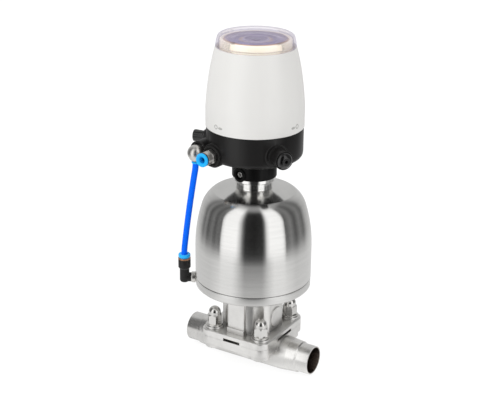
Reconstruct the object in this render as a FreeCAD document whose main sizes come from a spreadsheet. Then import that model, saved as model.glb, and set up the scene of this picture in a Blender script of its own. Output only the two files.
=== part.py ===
import FreeCAD, Part
import Sketcher
import math
import os
from types import SimpleNamespace

# Hygienic weir-type diaphragm valve with butt-weld ends, a spring-closed
# stainless piston actuator and a control head on top.
# Units mm and degrees.  Origin: crossing of the pipe axis and the actuator axis.
# X runs along the pipe, +Z runs up the actuator.

V = FreeCAD.Vector
doc = FreeCAD.newDocument("diaphragm_valve")
sheet = doc.addObject("Spreadsheet::Sheet", "Dims")

# Driving dimensions: alias, value, note.
DIMENSIONS = [
    # pipe and valve body
    ("pipe_rad", 14.5, "outside radius of the weld end, DN25"),
    ("pipe_wall", 1.5, "wall of the weld end"),
    ("passage_rad", 13.4, "slightly wider cast passage behind the machined end bore"),
    ("pipe_half", 71, "half the face to face length"),
    ("neck_rad", 16.5, "thicker neck next to the weld end"),
    ("barrel_rad", 17.3, "body barrel radius"),
    ("flange_half_x", 37.5, "half flange along the pipe"),
    ("flange_half_y", 41, "half flange across the pipe"),
    ("flange_corner", 10, "flange corner radius"),
    ("joint_z", 17.5, "joint plane between body and bonnet"),
    ("flange_low", 8.5, "underside of the body flange"),
    ("bolt_x", 26.9, "half bolt spacing along the pipe"),
    ("bolt_y", 29, "half bolt spacing across the pipe"),
    ("stud_rad", 4, "M8 stud"),
    ("cavity_rad", 21.5, "bowl radius at the joint plane"),
    ("weir_z", 4, "top of the weir"),
    # bonnet
    ("plate_z", 24.5, "top of the bonnet plate"),
    ("seat_z", 26.6, "top of the raised nut seats"),
    ("column_rad", 30, "bonnet column"),
    ("column_z", 68.3, "top of the bonnet column"),
    ("pad_y", 32, "face of the pads on both Y sides"),
    ("pad_half_x", 9.2, "half width of the pads"),
    ("disc_rad", 31, "diaphragm outside radius"),
    ("disc_thick", 3.5, "diaphragm clamp thickness"),
    ("nut_flats", 13, "cap nut across flats"),
    # actuator
    ("ring_rad", 57.2, "base ring radius"),
    ("ring_z", 77.5, "joint of base ring and dome"),
    ("shell_rad", 57.5, "dome radius"),
    ("shell_arc_z", 110, "start of the dome curvature"),
    ("shell_top", 171.5, "top of the dome plateau"),
    ("bore_rad", 55.4, "cylinder bore"),
    ("piston_z", 84, "piston underside, valve closed"),
    ("stem_rad", 6, "stem"),
    ("rod_rad", 5, "upper stem rod"),
    ("throat_rad", 18.3, "neck on the dome"),
    ("rim_rad", 20.9, "rim under the head"),
    ("rim_z", 178.8, "underside of the rim"),
    ("collar_z", 182.9, "underside of the head collar"),
    ("spigot_rad", 17, "spigot inside the head collar"),
    # control head
    ("collar_rad", 21.7, "head collar"),
    ("base_rad", 46.6, "head base"),
    ("base_low", 203, "head base underside"),
    ("base_top", 233, "joint of head base and cover"),
    ("base_wall", 3.1, "head base wall"),
    ("cover_rad", 47.1, "cover"),
    ("lens_z", 309.6, "joint of cover and lens"),
    ("lens_top", 323.4, "top of the lens"),
    ("gland_z", 216.3, "height of the cable gland"),
    ("port_a_z", 211.2, "height of port A"),
    ("port_b_z", 210.9, "height of port B"),
    ("port_c_z", 216.6, "height of port C"),
    # ports and tube
    ("tube_rad", 3, "air tube"),
    ("port_ab_angle", -95, "direction of ports A and B, which are parallel"),
    ("port_a_shift", -14.8, "sideways offset of port A from the axis"),
    ("tube_top_angle", -129.5, "angle of the upper tube end"),
    ("port_c_angle", -165, "angle of port C"),
    ("gland_angle", -33, "angle of the cable gland"),
    ("elbow_angle", 211, "angle of the lower elbow"),
    ("tube_top_reach", 59, "upper tube end from the axis"),
    ("tube_low_reach", 68.5, "lower tube end from the axis"),
    ("elbow_z", 73, "height of the lower elbow"),
    ("gap", 0.05, "running gap"),
]


# ---------------------------------------------------------------- quantities
class Quantity:
    """A number together with the spreadsheet expression it comes from."""

    def __init__(self, value, text):
        self.value = float(value)
        self.text = text

    def __add__(self, other):
        other = quantity(other)
        return Quantity(self.value + other.value, "(%s + %s)" % (self.text, other.text))

    def __sub__(self, other):
        other = quantity(other)
        return Quantity(self.value - other.value, "(%s - %s)" % (self.text, other.text))

    def __mul__(self, other):
        other = quantity(other)
        return Quantity(self.value * other.value, "(%s * %s)" % (self.text, other.text))

    def __truediv__(self, other):
        other = quantity(other)
        return Quantity(self.value / other.value, "(%s / %s)" % (self.text, other.text))

    def __neg__(self):
        return Quantity(-self.value, "(0 - %s)" % self.text)


def quantity(number):
    if isinstance(number, Quantity):
        return number
    return Quantity(number, "%.6f" % float(number))


def value_of(number):
    return quantity(number).value


dim = SimpleNamespace()
for line, (alias, size, note) in enumerate(DIMENSIONS, 1):
    sheet.set("A%d" % line, alias)
    sheet.set("B%d" % line, "%g" % size)
    sheet.set("C%d" % line, note)
    sheet.setAlias("B%d" % line, alias)
    setattr(dim, alias, Quantity(size, "Dims.%s" % alias))
doc.recompute()


# ---------------------------------------------------------------- places
def polar(reach, degrees):
    angle = math.radians(value_of(degrees))
    return value_of(reach) * math.cos(angle), value_of(reach) * math.sin(angle)


def radial(degrees, z, reach=0, shift=0):
    """Placement whose local Z points outwards at an angle, moved sideways by shift."""
    along_x, along_y = polar(1, degrees)
    shift = value_of(shift)
    return FreeCAD.Placement(FreeCAD.Matrix(
        -along_y, 0, along_x, reach * along_x - shift * along_y,
        along_x, 0, along_y, reach * along_y + shift * along_x,
        0, 1, 0, value_of(z),
        0, 0, 0, 1))


def upright(x, y, turn=0):
    """Placement on an axis parallel to Z, turned about it."""
    return FreeCAD.Placement(V(value_of(x), value_of(y), 0), FreeCAD.Rotation(V(0, 0, 1), turn))


def facing_x(x, y, z, sign=1):
    """Placement whose local Z points along +X, or along -X for sign -1."""
    return FreeCAD.Placement(V(x, y, z), FreeCAD.Rotation(V(0, 1, 0), sign * 90))


# ---------------------------------------------------------------- sketches
def bind(obj, prop, size):
    obj.setExpression(prop, quantity(size).text)


def drive(sketch, size, kind, *where):
    """Add a sketch constraint whose value follows a quantity."""
    index = sketch.addConstraint(Sketcher.Constraint(kind, *where, size.value))
    sketch.setExpression("Constraints[%d]" % index, size.text)


def pin_point(sketch, edge, end, x, y):
    """Fix a point; a zero coordinate puts it on the sketch axis."""
    for kind, axis, size in (("DistanceX", -2, quantity(x)), ("DistanceY", -1, quantity(y))):
        if abs(size.value) < 1e-9:
            sketch.addConstraint(Sketcher.Constraint("PointOnObject", edge, end, axis))
        else:
            drive(sketch, size, kind, -1, 1, edge, end)


def dome_radius(start, end):
    """Signed radius of the arc between two points that is centred on the V axis."""
    rise, inward = end.y - start.y, start.x - end.x
    radius = (inward * inward + rise * rise) / (2 * abs(rise))
    return radius * (1 if rise > 0 else -1) * (1 if inward > 0 else -1)


def add_arc(sketch, start, end, radius):
    """Arc that turns left for a positive radius; returns edge, start and end numbers."""
    side = 1 if radius > 0 else -1
    chord = end.sub(start)
    left = V(-chord.y, chord.x, 0)
    left.normalize()
    height = math.sqrt(radius * radius - (chord.Length / 2) ** 2)
    centre = start.add(end).multiply(0.5).add(left.multiply(side * height))
    # FreeCAD arcs run anticlockwise, so a right turn is drawn from its far end
    first, last = (start, end) if side > 0 else (end, start)
    angle_from = math.atan2(first.y - centre.y, first.x - centre.x)
    angle_to = math.atan2(last.y - centre.y, last.x - centre.x)
    if angle_to < angle_from:
        angle_to += 2 * math.pi
    round_line = Part.Circle(centre, V(0, 0, 1), abs(radius))
    edge = sketch.addGeometry(Part.ArcOfCircle(round_line, angle_from, angle_to), False)
    return (edge, 1, 2) if side > 0 else (edge, 2, 1)


def draw_outline(sketch, points, closed=True):
    """Outline through points.  A third entry on a point is the radius of the arc
    that leads to the next point, positive when it turns left, or "dome" for an
    arc centred on the V axis."""
    count = len(points)
    edges = []
    for i in range(count if closed else count - 1):
        start, end = [V(value_of(p[0]), value_of(p[1]), 0)
                      for p in (points[i], points[(i + 1) % count])]
        if len(points[i]) < 3:
            edges.append((sketch.addGeometry(Part.LineSegment(start, end), False), 1, 2))
        elif points[i][2] == "dome":
            edges.append(add_arc(sketch, start, end, dome_radius(start, end)))
        else:
            edges.append(add_arc(sketch, start, end, value_of(points[i][2])))
    for i in range(count if closed else count - 2):
        edge, _, end = edges[i]
        following, start, _ = edges[(i + 1) % count]
        sketch.addConstraint(Sketcher.Constraint("Coincident", edge, end, following, start))
    if not closed:
        pin_point(sketch, edges[-1][0], edges[-1][2], points[-1][0], points[-1][1])
    for (edge, start, _), point in zip(edges, points):
        pin_point(sketch, edge, start, point[0], point[1])
        if len(point) > 2 and point[2] == "dome":
            sketch.addConstraint(Sketcher.Constraint("PointOnObject", edge, 3, -2))
        elif len(point) > 2:
            radius = quantity(point[2])
            drive(sketch, -radius if radius.value < 0 else radius, "Radius", edge)


def draw_circle(sketch, radius):
    """Circle round the sketch origin."""
    radius = quantity(radius)
    edge = sketch.addGeometry(Part.Circle(V(0, 0, 0), V(0, 0, 1), radius.value), False)
    drive(sketch, radius, "Radius", edge)
    sketch.addConstraint(Sketcher.Constraint("Coincident", edge, 3, -1, 1))


def sketch_on(body, role, name, height=None):
    sketch = body.newObject("Sketcher::SketchObject", name)
    plane = next(f for f in body.Origin.OriginFeatures if f.Role == role)
    sketch.AttachmentSupport = [(plane, "")]
    sketch.MapMode = "FlatFace"
    if height is not None:
        bind(sketch, "AttachmentOffset.Base.z", height)
    return sketch


# ---------------------------------------------------------------- solids
def add_object(kind, name):
    obj = doc.addObject(kind, name)
    obj.Label = name
    return obj


def turned(name, points, placement=None, grooves=()):
    """(radius, height) outline revolved about local Z, less any turned grooves."""
    body = add_object("PartDesign::Body", name)
    steps = [("Revolution", "%s_profile" % name, "%s_turn" % name, points)]
    for i, groove in enumerate(grooves):
        label = "%s_groove%d" % (name, i)
        steps.append(("Groove", label + "_profile", label, groove))
    for kind, sketch_name, step_name, section in steps:
        sketch = sketch_on(body, "XZ_Plane", sketch_name)
        draw_outline(sketch, section)
        step = body.newObject("PartDesign::" + kind, step_name)
        step.Profile = sketch
        step.ReferenceAxis = (sketch, ["V_Axis"])
        step.Angle = 360.0
        body.Tip = step
    if placement is not None:
        body.Placement = placement
    return body


def turned_set(name, points, placements):
    return [turned("%s%d" % (name, i), points, placement)
            for i, placement in enumerate(placements)]


def padded(name, points, low, length, placement=None):
    """(x, y) outline raised straight up from the level low."""
    body = add_object("PartDesign::Body", name)
    sketch = sketch_on(body, "XY_Plane", name + "_profile", low)
    draw_outline(sketch, points)
    pad = body.newObject("PartDesign::Pad", name + "_pad")
    pad.Profile = sketch
    bind(pad, "Length", length)
    body.Tip = pad
    if placement is not None:
        body.Placement = placement
    return body


def round_edges_at(body, radius, level):
    """Round the edges of a body that lie wholly at one level."""
    doc.recompute()
    tip = body.Tip
    names = []
    for i, edge in enumerate(tip.Shape.Edges, 1):
        bounds = edge.BoundBox
        if max(abs(bounds.ZMin - level.value), abs(bounds.ZMax - level.value)) < 1e-4:
            names.append("Edge%d" % i)
    fillet = body.newObject("PartDesign::Fillet", "%s_fillet%d" % (body.Label, len(body.Group)))
    fillet.Base = (tip, names)
    bind(fillet, "Radius", radius)
    body.Tip = fillet


def put_at(obj, x, y, z):
    for axis, size in (("x", x), ("y", y), ("z", z)):
        bind(obj, "Placement.Base." + axis, size)


def cylinder(name, radius, height, x=0, y=0, z=0, placement=None):
    obj = add_object("Part::Cylinder", name)
    bind(obj, "Radius", radius)
    bind(obj, "Height", height)
    if placement is None:
        put_at(obj, x, y, z)
    else:
        obj.Placement = placement
    return obj


def cylinder_set(name, spots, radius, height, z):
    return [cylinder("%s%d" % (name, i), radius, height, x, y, z)
            for i, (x, y) in enumerate(spots)]


def box(name, x_from, x_to, y_from, y_to, z_from, z_to):
    obj = add_object("Part::Box", name)
    bind(obj, "Length", quantity(x_to) - x_from)
    bind(obj, "Width", quantity(y_to) - y_from)
    bind(obj, "Height", quantity(z_to) - z_from)
    put_at(obj, x_from, y_from, z_from)
    return obj


def fuse(name, shapes, refine=True):
    obj = add_object("Part::MultiFuse", name)
    obj.Shapes = shapes
    obj.Refine = refine
    return obj


def cut(name, base, tools):
    """Cut the tools from the base one after another."""
    for i, tool in enumerate(tools):
        last = i == len(tools) - 1
        obj = add_object("Part::Cut", name if last else "%s_step%d" % (name, i))
        obj.Base = base
        obj.Tool = tool
        obj.Refine = True
        base = obj
    return base


def common(name, first, second):
    obj = add_object("Part::MultiCommon", name)
    obj.Shapes = [first, second]
    obj.Refine = True
    return obj


def group(name, shapes):
    obj = add_object("Part::Compound", name)
    obj.Links = shapes
    return obj


def placed(obj, placement):
    obj.Placement = placement
    return obj


# ---------------------------------------------------------------- shared outlines and parts
def ring_section(inner, outer, low, high):
    """Rectangular (radius, height) section of a plain ring."""
    return [(inner, low), (outer, low), (outer, high), (inner, high)]


def hexagon(across_flats, turn=0):
    """Hexagon outline, flats facing local Y when turn is 0."""
    reach = quantity(across_flats) / math.sqrt(3.0)
    angles = [math.radians(60 * k + turn) for k in range(6)]
    return [(reach * round(math.cos(a), 9), reach * round(math.sin(a), 9)) for a in angles]


def socket_screws(name, points, across_flats, socket_low, placements):
    """Turned screws with a hexagon socket, grouped as one piece."""
    screws = []
    for i, placement in enumerate(placements):
        blank = turned("%s_blank%d" % (name, i), points)
        socket = padded("%s_socket%d" % (name, i), hexagon(across_flats), socket_low, 4)
        screws.append(placed(cut("%s%d" % (name, i), blank, [socket]), placement))
    return group(name + "s", screws)


def fluted(name, blank, flute_name, reach, start, flute_rad, length, low):
    """Blank with eight upright flutes cut round it, the first at the start angle."""
    spots = [polar(reach, 45 * k + start) for k in range(8)]
    return cut(name, blank, cylinder_set(flute_name, spots, flute_rad, length, low))


pieces = []
piece = pieces.append

# Unless noted, every outline given to turned() lists (radius, height) points.

CORNERS = [(1, 1), (-1, 1), (-1, -1), (1, -1)]
BOLTS = [(dim.bolt_x * side_x, dim.bolt_y * side_y) for side_x, side_y in CORNERS]
BOLT_PLACES = [upright(x, y) for x, y in BOLTS]
BOLT_BOSS_RAD = 9.2

# flange outline in X and Y, less the corner radius on the straight runs
half_x, half_y, corner = dim.flange_half_x, dim.flange_half_y, dim.flange_corner
flat_x, flat_y = half_x - corner, half_y - corner
FLANGE_OUTLINE = [
    (-flat_x, -half_y), (flat_x, -half_y, corner), (half_x, -flat_y), (half_x, flat_y, corner),
    (flat_x, half_y), (-flat_x, half_y, corner), (-half_x, flat_y), (-half_x, -flat_y, corner)]


# ================================================================ valve body
BOSS_LOW = 3.6
GUSSET_HALF = 31


def valve_body():
    pipe_axis = facing_x(0, 0, 0)
    weld_bore = dim.pipe_rad - dim.pipe_wall
    barrel = turned("body_barrel", [
        (0, -dim.pipe_half), (dim.pipe_rad, -dim.pipe_half), (dim.pipe_rad, -58), (15.7, -57),
        (dim.neck_rad, -47), (dim.barrel_rad, -38), (dim.barrel_rad, 38), (dim.neck_rad, 47),
        (15.7, 57), (dim.pipe_rad, 58), (dim.pipe_rad, dim.pipe_half), (0, dim.pipe_half)],
        pipe_axis)
    flange = padded("body_flange", FLANGE_OUTLINE, dim.flange_low, dim.joint_z - dim.flange_low)
    round_edges_at(flange, 1.2, dim.flange_low)
    bosses = cylinder_set("body_boss", BOLTS, BOLT_BOSS_RAD, dim.flange_low - 2.8, BOSS_LOW)
    # (y, z) outline, padded along X
    gusset = padded("body_gusset", [
        (-33, dim.flange_low + 0.5), (-16.6, -1.5), (16.6, -1.5), (33, dim.flange_low + 0.5)],
        -GUSSET_HALF, 2 * GUSSET_HALF, radial(0, 0))
    solid = fuse("body_solid", [barrel, flange, gusset] + bosses)
    # flow way: two level bores that meet a bowl, with the weir left between them
    bore_in = turned("bore_in", [
        (0, -(dim.pipe_half + 1)), (weld_bore, -(dim.pipe_half + 1)), (weld_bore, -38),
        (dim.passage_rad, -36), (dim.passage_rad, -15), (9.5, -7), (0, -5.5)], pipe_axis)
    bore_out = turned("bore_out", [
        (0, 5.5), (9.5, 7), (dim.passage_rad, 15), (dim.passage_rad, 36), (weld_bore, 38),
        (weld_bore, dim.pipe_half + 1), (0, dim.pipe_half + 1)], pipe_axis)
    bowl = turned("bowl", [
        (0, dim.weir_z), (7, dim.weir_z), (13.5, 6.2), (18.6, 10.2), (20.8, 13.8),
        (dim.cavity_rad, dim.joint_z), (dim.cavity_rad, dim.joint_z + 1), (0, dim.joint_z + 1)])
    holes = cylinder_set("body_hole", BOLTS, dim.stud_rad + dim.gap, 12.5, 5.5)
    return cut("valve_body", solid, [bore_in, bore_out, bowl] + holes)


piece(valve_body())

# ================================================================ diaphragm
# moulded disc, pressed on the weir; the rim is clamped in the joint
disc_top = dim.joint_z + dim.disc_thick
piece(turned("diaphragm", [
    (0, dim.weir_z + dim.gap), (6.4, dim.weir_z + dim.gap), (12.4, 7.2), (17, 11.2),
    (19.3, 14.6), (20.4, dim.joint_z), (dim.disc_rad, dim.joint_z), (dim.disc_rad, disc_top),
    (19, disc_top), (16.6, 17.6), (14.4, 14.2), (10.6, 10.4), (5.4, 7.4), (0, 7.2)]))

# ================================================================ bonnet
SIDE_FLAT_X = 27.2      # flats on both X sides of the column
FLAT_TOP = 60
FOOT_TOP = 29.5         # feet of the pads, above the plate
FOOT_X, FOOT_Y = 9.7, 33.6
SCREW_REACH = 21        # base screws from the axis
SCREWS = [(SCREW_REACH, 0), (0, SCREW_REACH), (-SCREW_REACH, 0), (0, -SCREW_REACH)]
WINDOW_TOP = 2.9        # above the joint plane


def bonnet():
    plate = padded("bonnet_plate", FLANGE_OUTLINE, dim.joint_z, dim.plate_z - dim.joint_z)
    round_edges_at(plate, 1.3, dim.plate_z)
    inside_plate = dim.plate_z - 1
    column = cylinder("bonnet_column", dim.column_rad, dim.column_z - dim.plate_z + 1,
                      z=inside_plate)
    # flutes leave room for the nuts
    flutes = turned_set("bonnet_flute", [
        (0, dim.plate_z), (11.2, dim.plate_z), (11.2, 52), (9.4, 60, 4), (5.5, 63.5), (0, 64)],
        BOLT_PLACES)
    flats = [box("bonnet_flat0", SIDE_FLAT_X, 40, -30, 30, dim.plate_z, FLAT_TOP),
             box("bonnet_flat1", -40, -SIDE_FLAT_X, -30, 30, dim.plate_z, FLAT_TOP)]
    column_cut = cut("bonnet_column_cut", column, flutes + flats)
    pads = box("bonnet_pads", -dim.pad_half_x, dim.pad_half_x, -dim.pad_y, dim.pad_y,
               FOOT_TOP, dim.column_z)
    feet = box("bonnet_feet", -FOOT_X, FOOT_X, -FOOT_Y, FOOT_Y, inside_plate, FOOT_TOP)
    seats = cylinder_set("bonnet_seat", BOLTS, BOLT_BOSS_RAD, dim.seat_z - dim.plate_z + 1,
                         inside_plate)
    medals = turned_set("bonnet_medal", [(0, 0), (10.5, 0), (10.5, 0.6), (9.9, 1.2), (0, 1.2)],
                        [facing_x(sign * SIDE_FLAT_X, 0, 37, sign) for sign in (1, -1)])
    solid = fuse("bonnet_solid", [plate, column_cut, pads, feet] + seats + medals)
    bore = turned("bonnet_bore", [
        (0, 16), (dim.disc_rad + dim.gap, 16), (dim.disc_rad + dim.gap, disc_top),
        (20.5, disc_top), (17.4, 24), (17.4, 38), (9, 38), (9, 62), (10.6, 62),
        (10.6, dim.column_z + 1), (0, dim.column_z + 1)])
    holes = cylinder_set("bonnet_hole", BOLTS, dim.stud_rad + 0.5, 12, 16)
    # slots across the underside, open on all four sides
    low, high = dim.joint_z - 1, dim.joint_z + WINDOW_TOP
    windows = [box("window0", -9.4, 9.4, -50, 50, low, high),
               box("window1", -50, 50, -13.6, 13.6, low, high)]
    taps = cylinder_set("bonnet_tap", SCREWS, 3.0, 14, 55)
    return cut("bonnet", solid, [bore] + holes + windows + taps)


piece(bonnet())

# ================================================================ flange fasteners
WASHER_THICK = 1.6
NUT_TURNS = [20, 40, 10, 2]     # degrees each nut is turned
nut_low = dim.seat_z + WASHER_THICK

piece(group("flange_studs", cylinder_set("stud", BOLTS, dim.stud_rad, 36.6, 5.9)))

piece(group("flange_washers", turned_set("washer", [
    (4.2, dim.seat_z), (8, dim.seat_z), (8.2, dim.seat_z + 0.2), (8.2, dim.seat_z + 1.4),
    (8, nut_low), (4.2, nut_low)], BOLT_PLACES)))


def cap_nut(i):
    hexagonal = padded("nut_hex%d" % i, hexagon(dim.nut_flats), nut_low, 20)
    hull = turned("nut_hull%d" % i, [
        (0, nut_low), (6.7, nut_low), (7.45, dim.seat_z + 2.1), (7.45, 36.9), (6.5, 37.9),
        (6.1, 38.1), (6.1, 40.2, "dome"), (0, 46.3)])
    hole = cylinder("nut_hole%d" % i, dim.stud_rad + dim.gap, 15.2, z=28)
    nut = cut("cap_nut%d" % i, common("nut_body%d" % i, hexagonal, hull), [hole])
    return placed(nut, upright(*BOLTS[i], NUT_TURNS[i]))


piece(group("cap_nuts", [cap_nut(i) for i in range(4)]))

# ================================================================ stem and compressor
PIN_Z = 23.5
PIN_RAD = 1.5
PIN_HALF = 10.5
stem_fit = dim.stem_rad + dim.gap
seal_fit = dim.stem_rad + 0.02


def pin_hole(name):
    return cylinder(name, dim.gap + PIN_RAD, 30, placement=facing_x(-15, 0, PIN_Z))


def compressor():
    blank = turned("compressor_blank", [
        (0, 7.25), (5.3, 7.45), (10.4, 10.5), (14.1, 14.3), (15.6, 16.6), (15.6, 19), (11, 23),
        (11, 27.5), (0, 27.5)])
    bore = cylinder("compressor_bore", stem_fit, 20, z=15.9)
    return cut("compressor", blank, [bore, pin_hole("compressor_pin_hole")])


def stem():
    blank = turned("stem_blank", [
        (0, 16), (dim.stem_rad - 0.4, 16), (dim.stem_rad, 16.4), (dim.stem_rad, 79), (9, 79),
        (9, dim.piston_z), (7, dim.piston_z), (7, 99), (6, 99), (6, 107), (dim.rod_rad, 108),
        (dim.rod_rad, 196), (dim.rod_rad - 0.5, 196.5), (0, 196.5)])
    return cut("stem", blank, [pin_hole("stem_pin_hole")])


piece(compressor())
piece(stem())
piece(cylinder("compressor_pin", PIN_RAD, 2 * PIN_HALF, placement=facing_x(-PIN_HALF, 0, PIN_Z)))

# guide bush and seal in the bonnet
piece(turned("lower_bush", ring_section(stem_fit, 9, 38.2, 61.6)))
piece(turned("stem_seal", [
    (seal_fit, 62.1), (10.5, 62.1), (10.5, 67), (9, 67), (8.6, 64.5), (7.4, 64.5), (6.6, 67),
    (seal_fit, 67)]))

# ================================================================ port directions
tube_top_x, tube_top_y = polar(dim.tube_top_reach, dim.tube_top_angle)
tube_low_x, tube_low_y = polar(dim.tube_low_reach, dim.elbow_angle)
# port B is parallel to port A and points at the upper tube end
port_dir_x, port_dir_y = polar(1, dim.port_ab_angle)
port_b_shift = tube_top_y * port_dir_x - tube_top_x * port_dir_y
port_b_reach = tube_top_x * port_dir_x + tube_top_y * port_dir_y

# angle, height and sideways shift of each port
PORTS = {
    "a": (dim.port_ab_angle, dim.port_a_z, dim.port_a_shift),
    "b": (dim.port_ab_angle, dim.port_b_z, port_b_shift),
    "c": (dim.port_c_angle, dim.port_c_z, 0),
    "gland": (dim.gland_angle, dim.gland_z, 0),
    "elbow": (dim.elbow_angle, dim.elbow_z, 0),
}


def port(name, reach=0):
    """Placement pointing out of a port, starting at a reach from the actuator axis."""
    angle, z, shift = PORTS[name]
    return radial(angle, z, reach, shift)


# ================================================================ actuator base
base_fit = dim.bore_rad - dim.gap
SCREW_SEAT_Z = 71


def actuator_base():
    blank = turned("actuator_base_blank", [
        (7.2, dim.column_z), (56, dim.column_z), (dim.ring_rad, dim.column_z + 1.2),
        (dim.ring_rad, dim.ring_z - 0.5), (dim.ring_rad - 0.4, dim.ring_z),
        (base_fit, dim.ring_z), (base_fit, 82), (dim.bore_rad - 1, 82.8), (51, 82.8),
        (49, 77), (12, 76), (12, 78.6), (7.2, 78.6)])
    groove = turned("actuator_base_groove", ring_section(53.2, 56, 78.9, 81.1))
    rise_x, rise_y = polar(40, dim.elbow_angle)
    air_way = [cylinder("air_tap", 3.9, 9, placement=port("elbow", 48.5)),
               cylinder("air_gallery", 2.2, 12, placement=port("elbow", 38)),
               cylinder("air_rise", 2.6, 12, rise_x, rise_y, 73)]
    screw_holes = []
    for i, (x, y) in enumerate(SCREWS):
        screw_holes.append(cylinder("base_clear%d" % i, 3.3, 12, x, y, 67))
        screw_holes.append(cylinder("base_sink%d" % i, 5.4, 8, x, y, SCREW_SEAT_Z))
    return cut("actuator_base", blank, [groove] + air_way + screw_holes)


piece(actuator_base())
piece(socket_screws("base_screw", [
    (0, 56.5), (2.6, 56.5), (2.95, 57), (2.95, SCREW_SEAT_Z), (5, SCREW_SEAT_Z), (5, 75.6),
    (4.7, 76), (0, 76)],
    across_flats=5, socket_low=73, placements=[upright(x, y) for x, y in SCREWS]))
piece(turned("housing_o_ring", ring_section(53.25, dim.bore_rad - 0.01, 79, 81)))

# ================================================================ dome
piece(turned("dome_housing", [
    (dim.bore_rad, dim.ring_z), (dim.shell_rad, dim.ring_z), (dim.shell_rad, dim.shell_arc_z, 141),
    (51.1, 152, 28), (40, 167), (dim.throat_rad + 2, 171.1), (dim.throat_rad + 0.4, dim.shell_top),
    (16, dim.shell_top), (16, 169.4), (38.6, 165, -26), (49.1, 151.4, -139),
    (dim.bore_rad, dim.shell_arc_z)]))
piece(turned("neck_adapter", [
    (9, 166), (23, 166), (23, 167.6), (15.95, 169.0), (15.95, dim.shell_top),
    (dim.throat_rad - 0.4, dim.shell_top), (dim.throat_rad + 0.35, dim.shell_top + 0.7),
    (dim.throat_rad, dim.shell_top + 1.4), (dim.throat_rad, dim.rim_z),
    (dim.rim_rad - 0.8, dim.rim_z), (dim.rim_rad, dim.rim_z + 0.8),
    (dim.rim_rad, dim.collar_z - 0.2), (dim.rim_rad - 0.2, dim.collar_z),
    (dim.spigot_rad, dim.collar_z), (dim.spigot_rad, 184.6), (15.4, 185.8), (15.4, 190.2),
    (dim.spigot_rad, 191.4), (dim.spigot_rad, 196), (dim.spigot_rad - 1, 197), (11, 197),
    (11, 182), (9, 182)]))
# bush and seal round the upper rod
piece(turned("upper_bush", ring_section(dim.rod_rad + dim.gap, 8.98, 166.2, 181.6)))
piece(turned("rod_seal", [
    (dim.rod_rad + 0.02, 182.2), (10.9, 182.2), (10.9, 186.4), (9.2, 186.4), (8.8, 184),
    (6.6, 184), (6, 186.4), (dim.rod_rad + 0.02, 186.4)]))

# ================================================================ piston
PISTON_TOP = 99
piston_fit = dim.bore_rad - 0.08
seal_rad = dim.bore_rad - 0.02
piece(turned("piston", [
    (7.05, dim.piston_z), (17, dim.piston_z), (20, 86.5), (48, 86.5), (50, dim.piston_z),
    (dim.bore_rad - 0.3, dim.piston_z), (piston_fit, dim.piston_z + 0.4), (piston_fit, 98.6),
    (dim.bore_rad - 0.3, PISTON_TOP), (51, PISTON_TOP), (49.4, 90.5), (32.5, 90.5),
    (31.5, 92.5), (30.5, 90.5), (15.5, 90.5), (13.5, PISTON_TOP), (7.05, PISTON_TOP)],
    grooves=[ring_section(51.4, 57, 87.4, 91.6), ring_section(53.4, 57, 93.6, 97)]))
piece(turned("piston_seal", [
    (51.5, 87.6), (55, 87.6), (seal_rad, 88.4), (seal_rad, 90.6), (55, 91.4), (51.5, 91.4)]))
piece(turned("piston_guide_ring", ring_section(53.5, dim.bore_rad - 0.03, 93.7, 96.9)))


def piston_nut():
    hexagonal = padded("piston_nut_hex", hexagon(19), PISTON_TOP, 7)
    hull = turned("piston_nut_hull", [
        (6.05, PISTON_TOP), (10.1, PISTON_TOP), (10.97, 99.6), (10.97, 105.2), (10.1, 106),
        (6.05, 106)])
    return common("piston_nut", hexagonal, hull)


piece(piston_nut())

# ================================================================ springs
# plate above the springs
piece(turned("spring_plate", [
    (17, 157), (42.5, 157), (42.5, 160), (21, 160), (20.4, 165.9), (17, 165.9)]))


def spring(name, mean_rad, wire_rad, low, high, coils):
    """Round-wire coil between two levels of the wire's centre line.

    The centre line is a chain of half rings. Each rising half ring is tilted about Y, so
    that all of them meet with a level tangent, and a level half ring closes each end.
    """
    rise = (high - low) / (2 * coils)
    tilted_rad = math.hypot(mean_rad, rise / 2)
    tilt = math.degrees(math.atan2(rise / 2, mean_rad))
    # height, radius and tilt of each half ring
    halves = [(low, mean_rad, 0)]
    halves += [(low + rise * (k + 0.5), tilted_rad, tilt) for k in range(2 * coils)]
    halves.append((high, mean_rad, 0))
    rings = []
    for k, (z, radius, lean) in enumerate(halves):
        ring = add_object("Part::Torus", "%s_half%d" % (name, k))
        bind(ring, "Radius1", radius)
        ring.Radius2 = wire_rad
        ring.Angle1 = -180
        ring.Angle2 = 180
        ring.Angle3 = 180
        odd = k % 2
        tilted = FreeCAD.Rotation(V(0, 1, 0), -lean if odd else lean)
        half_turn = FreeCAD.Rotation(V(0, 0, 1), 180 if odd else 0)
        ring.Placement = FreeCAD.Placement(V(0, 0, z), tilted * half_turn)
        rings.append(ring)
    return fuse(name, rings, refine=False)


piece(spring("spring_outer", mean_rad=40, wire_rad=3, low=94, high=153.5, coils=6))
piece(spring("spring_inner", mean_rad=24.5, wire_rad=2.3, low=93.3, high=154.2, coils=7))

# ================================================================ head collar
SET_SCREW_Z = 188
SET_SCREW_ANGLES = (-100, 80)
SET_SCREW_PLACES = [radial(angle, SET_SCREW_Z) for angle in SET_SCREW_ANGLES]
spigot_fit = dim.spigot_rad + dim.gap


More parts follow.
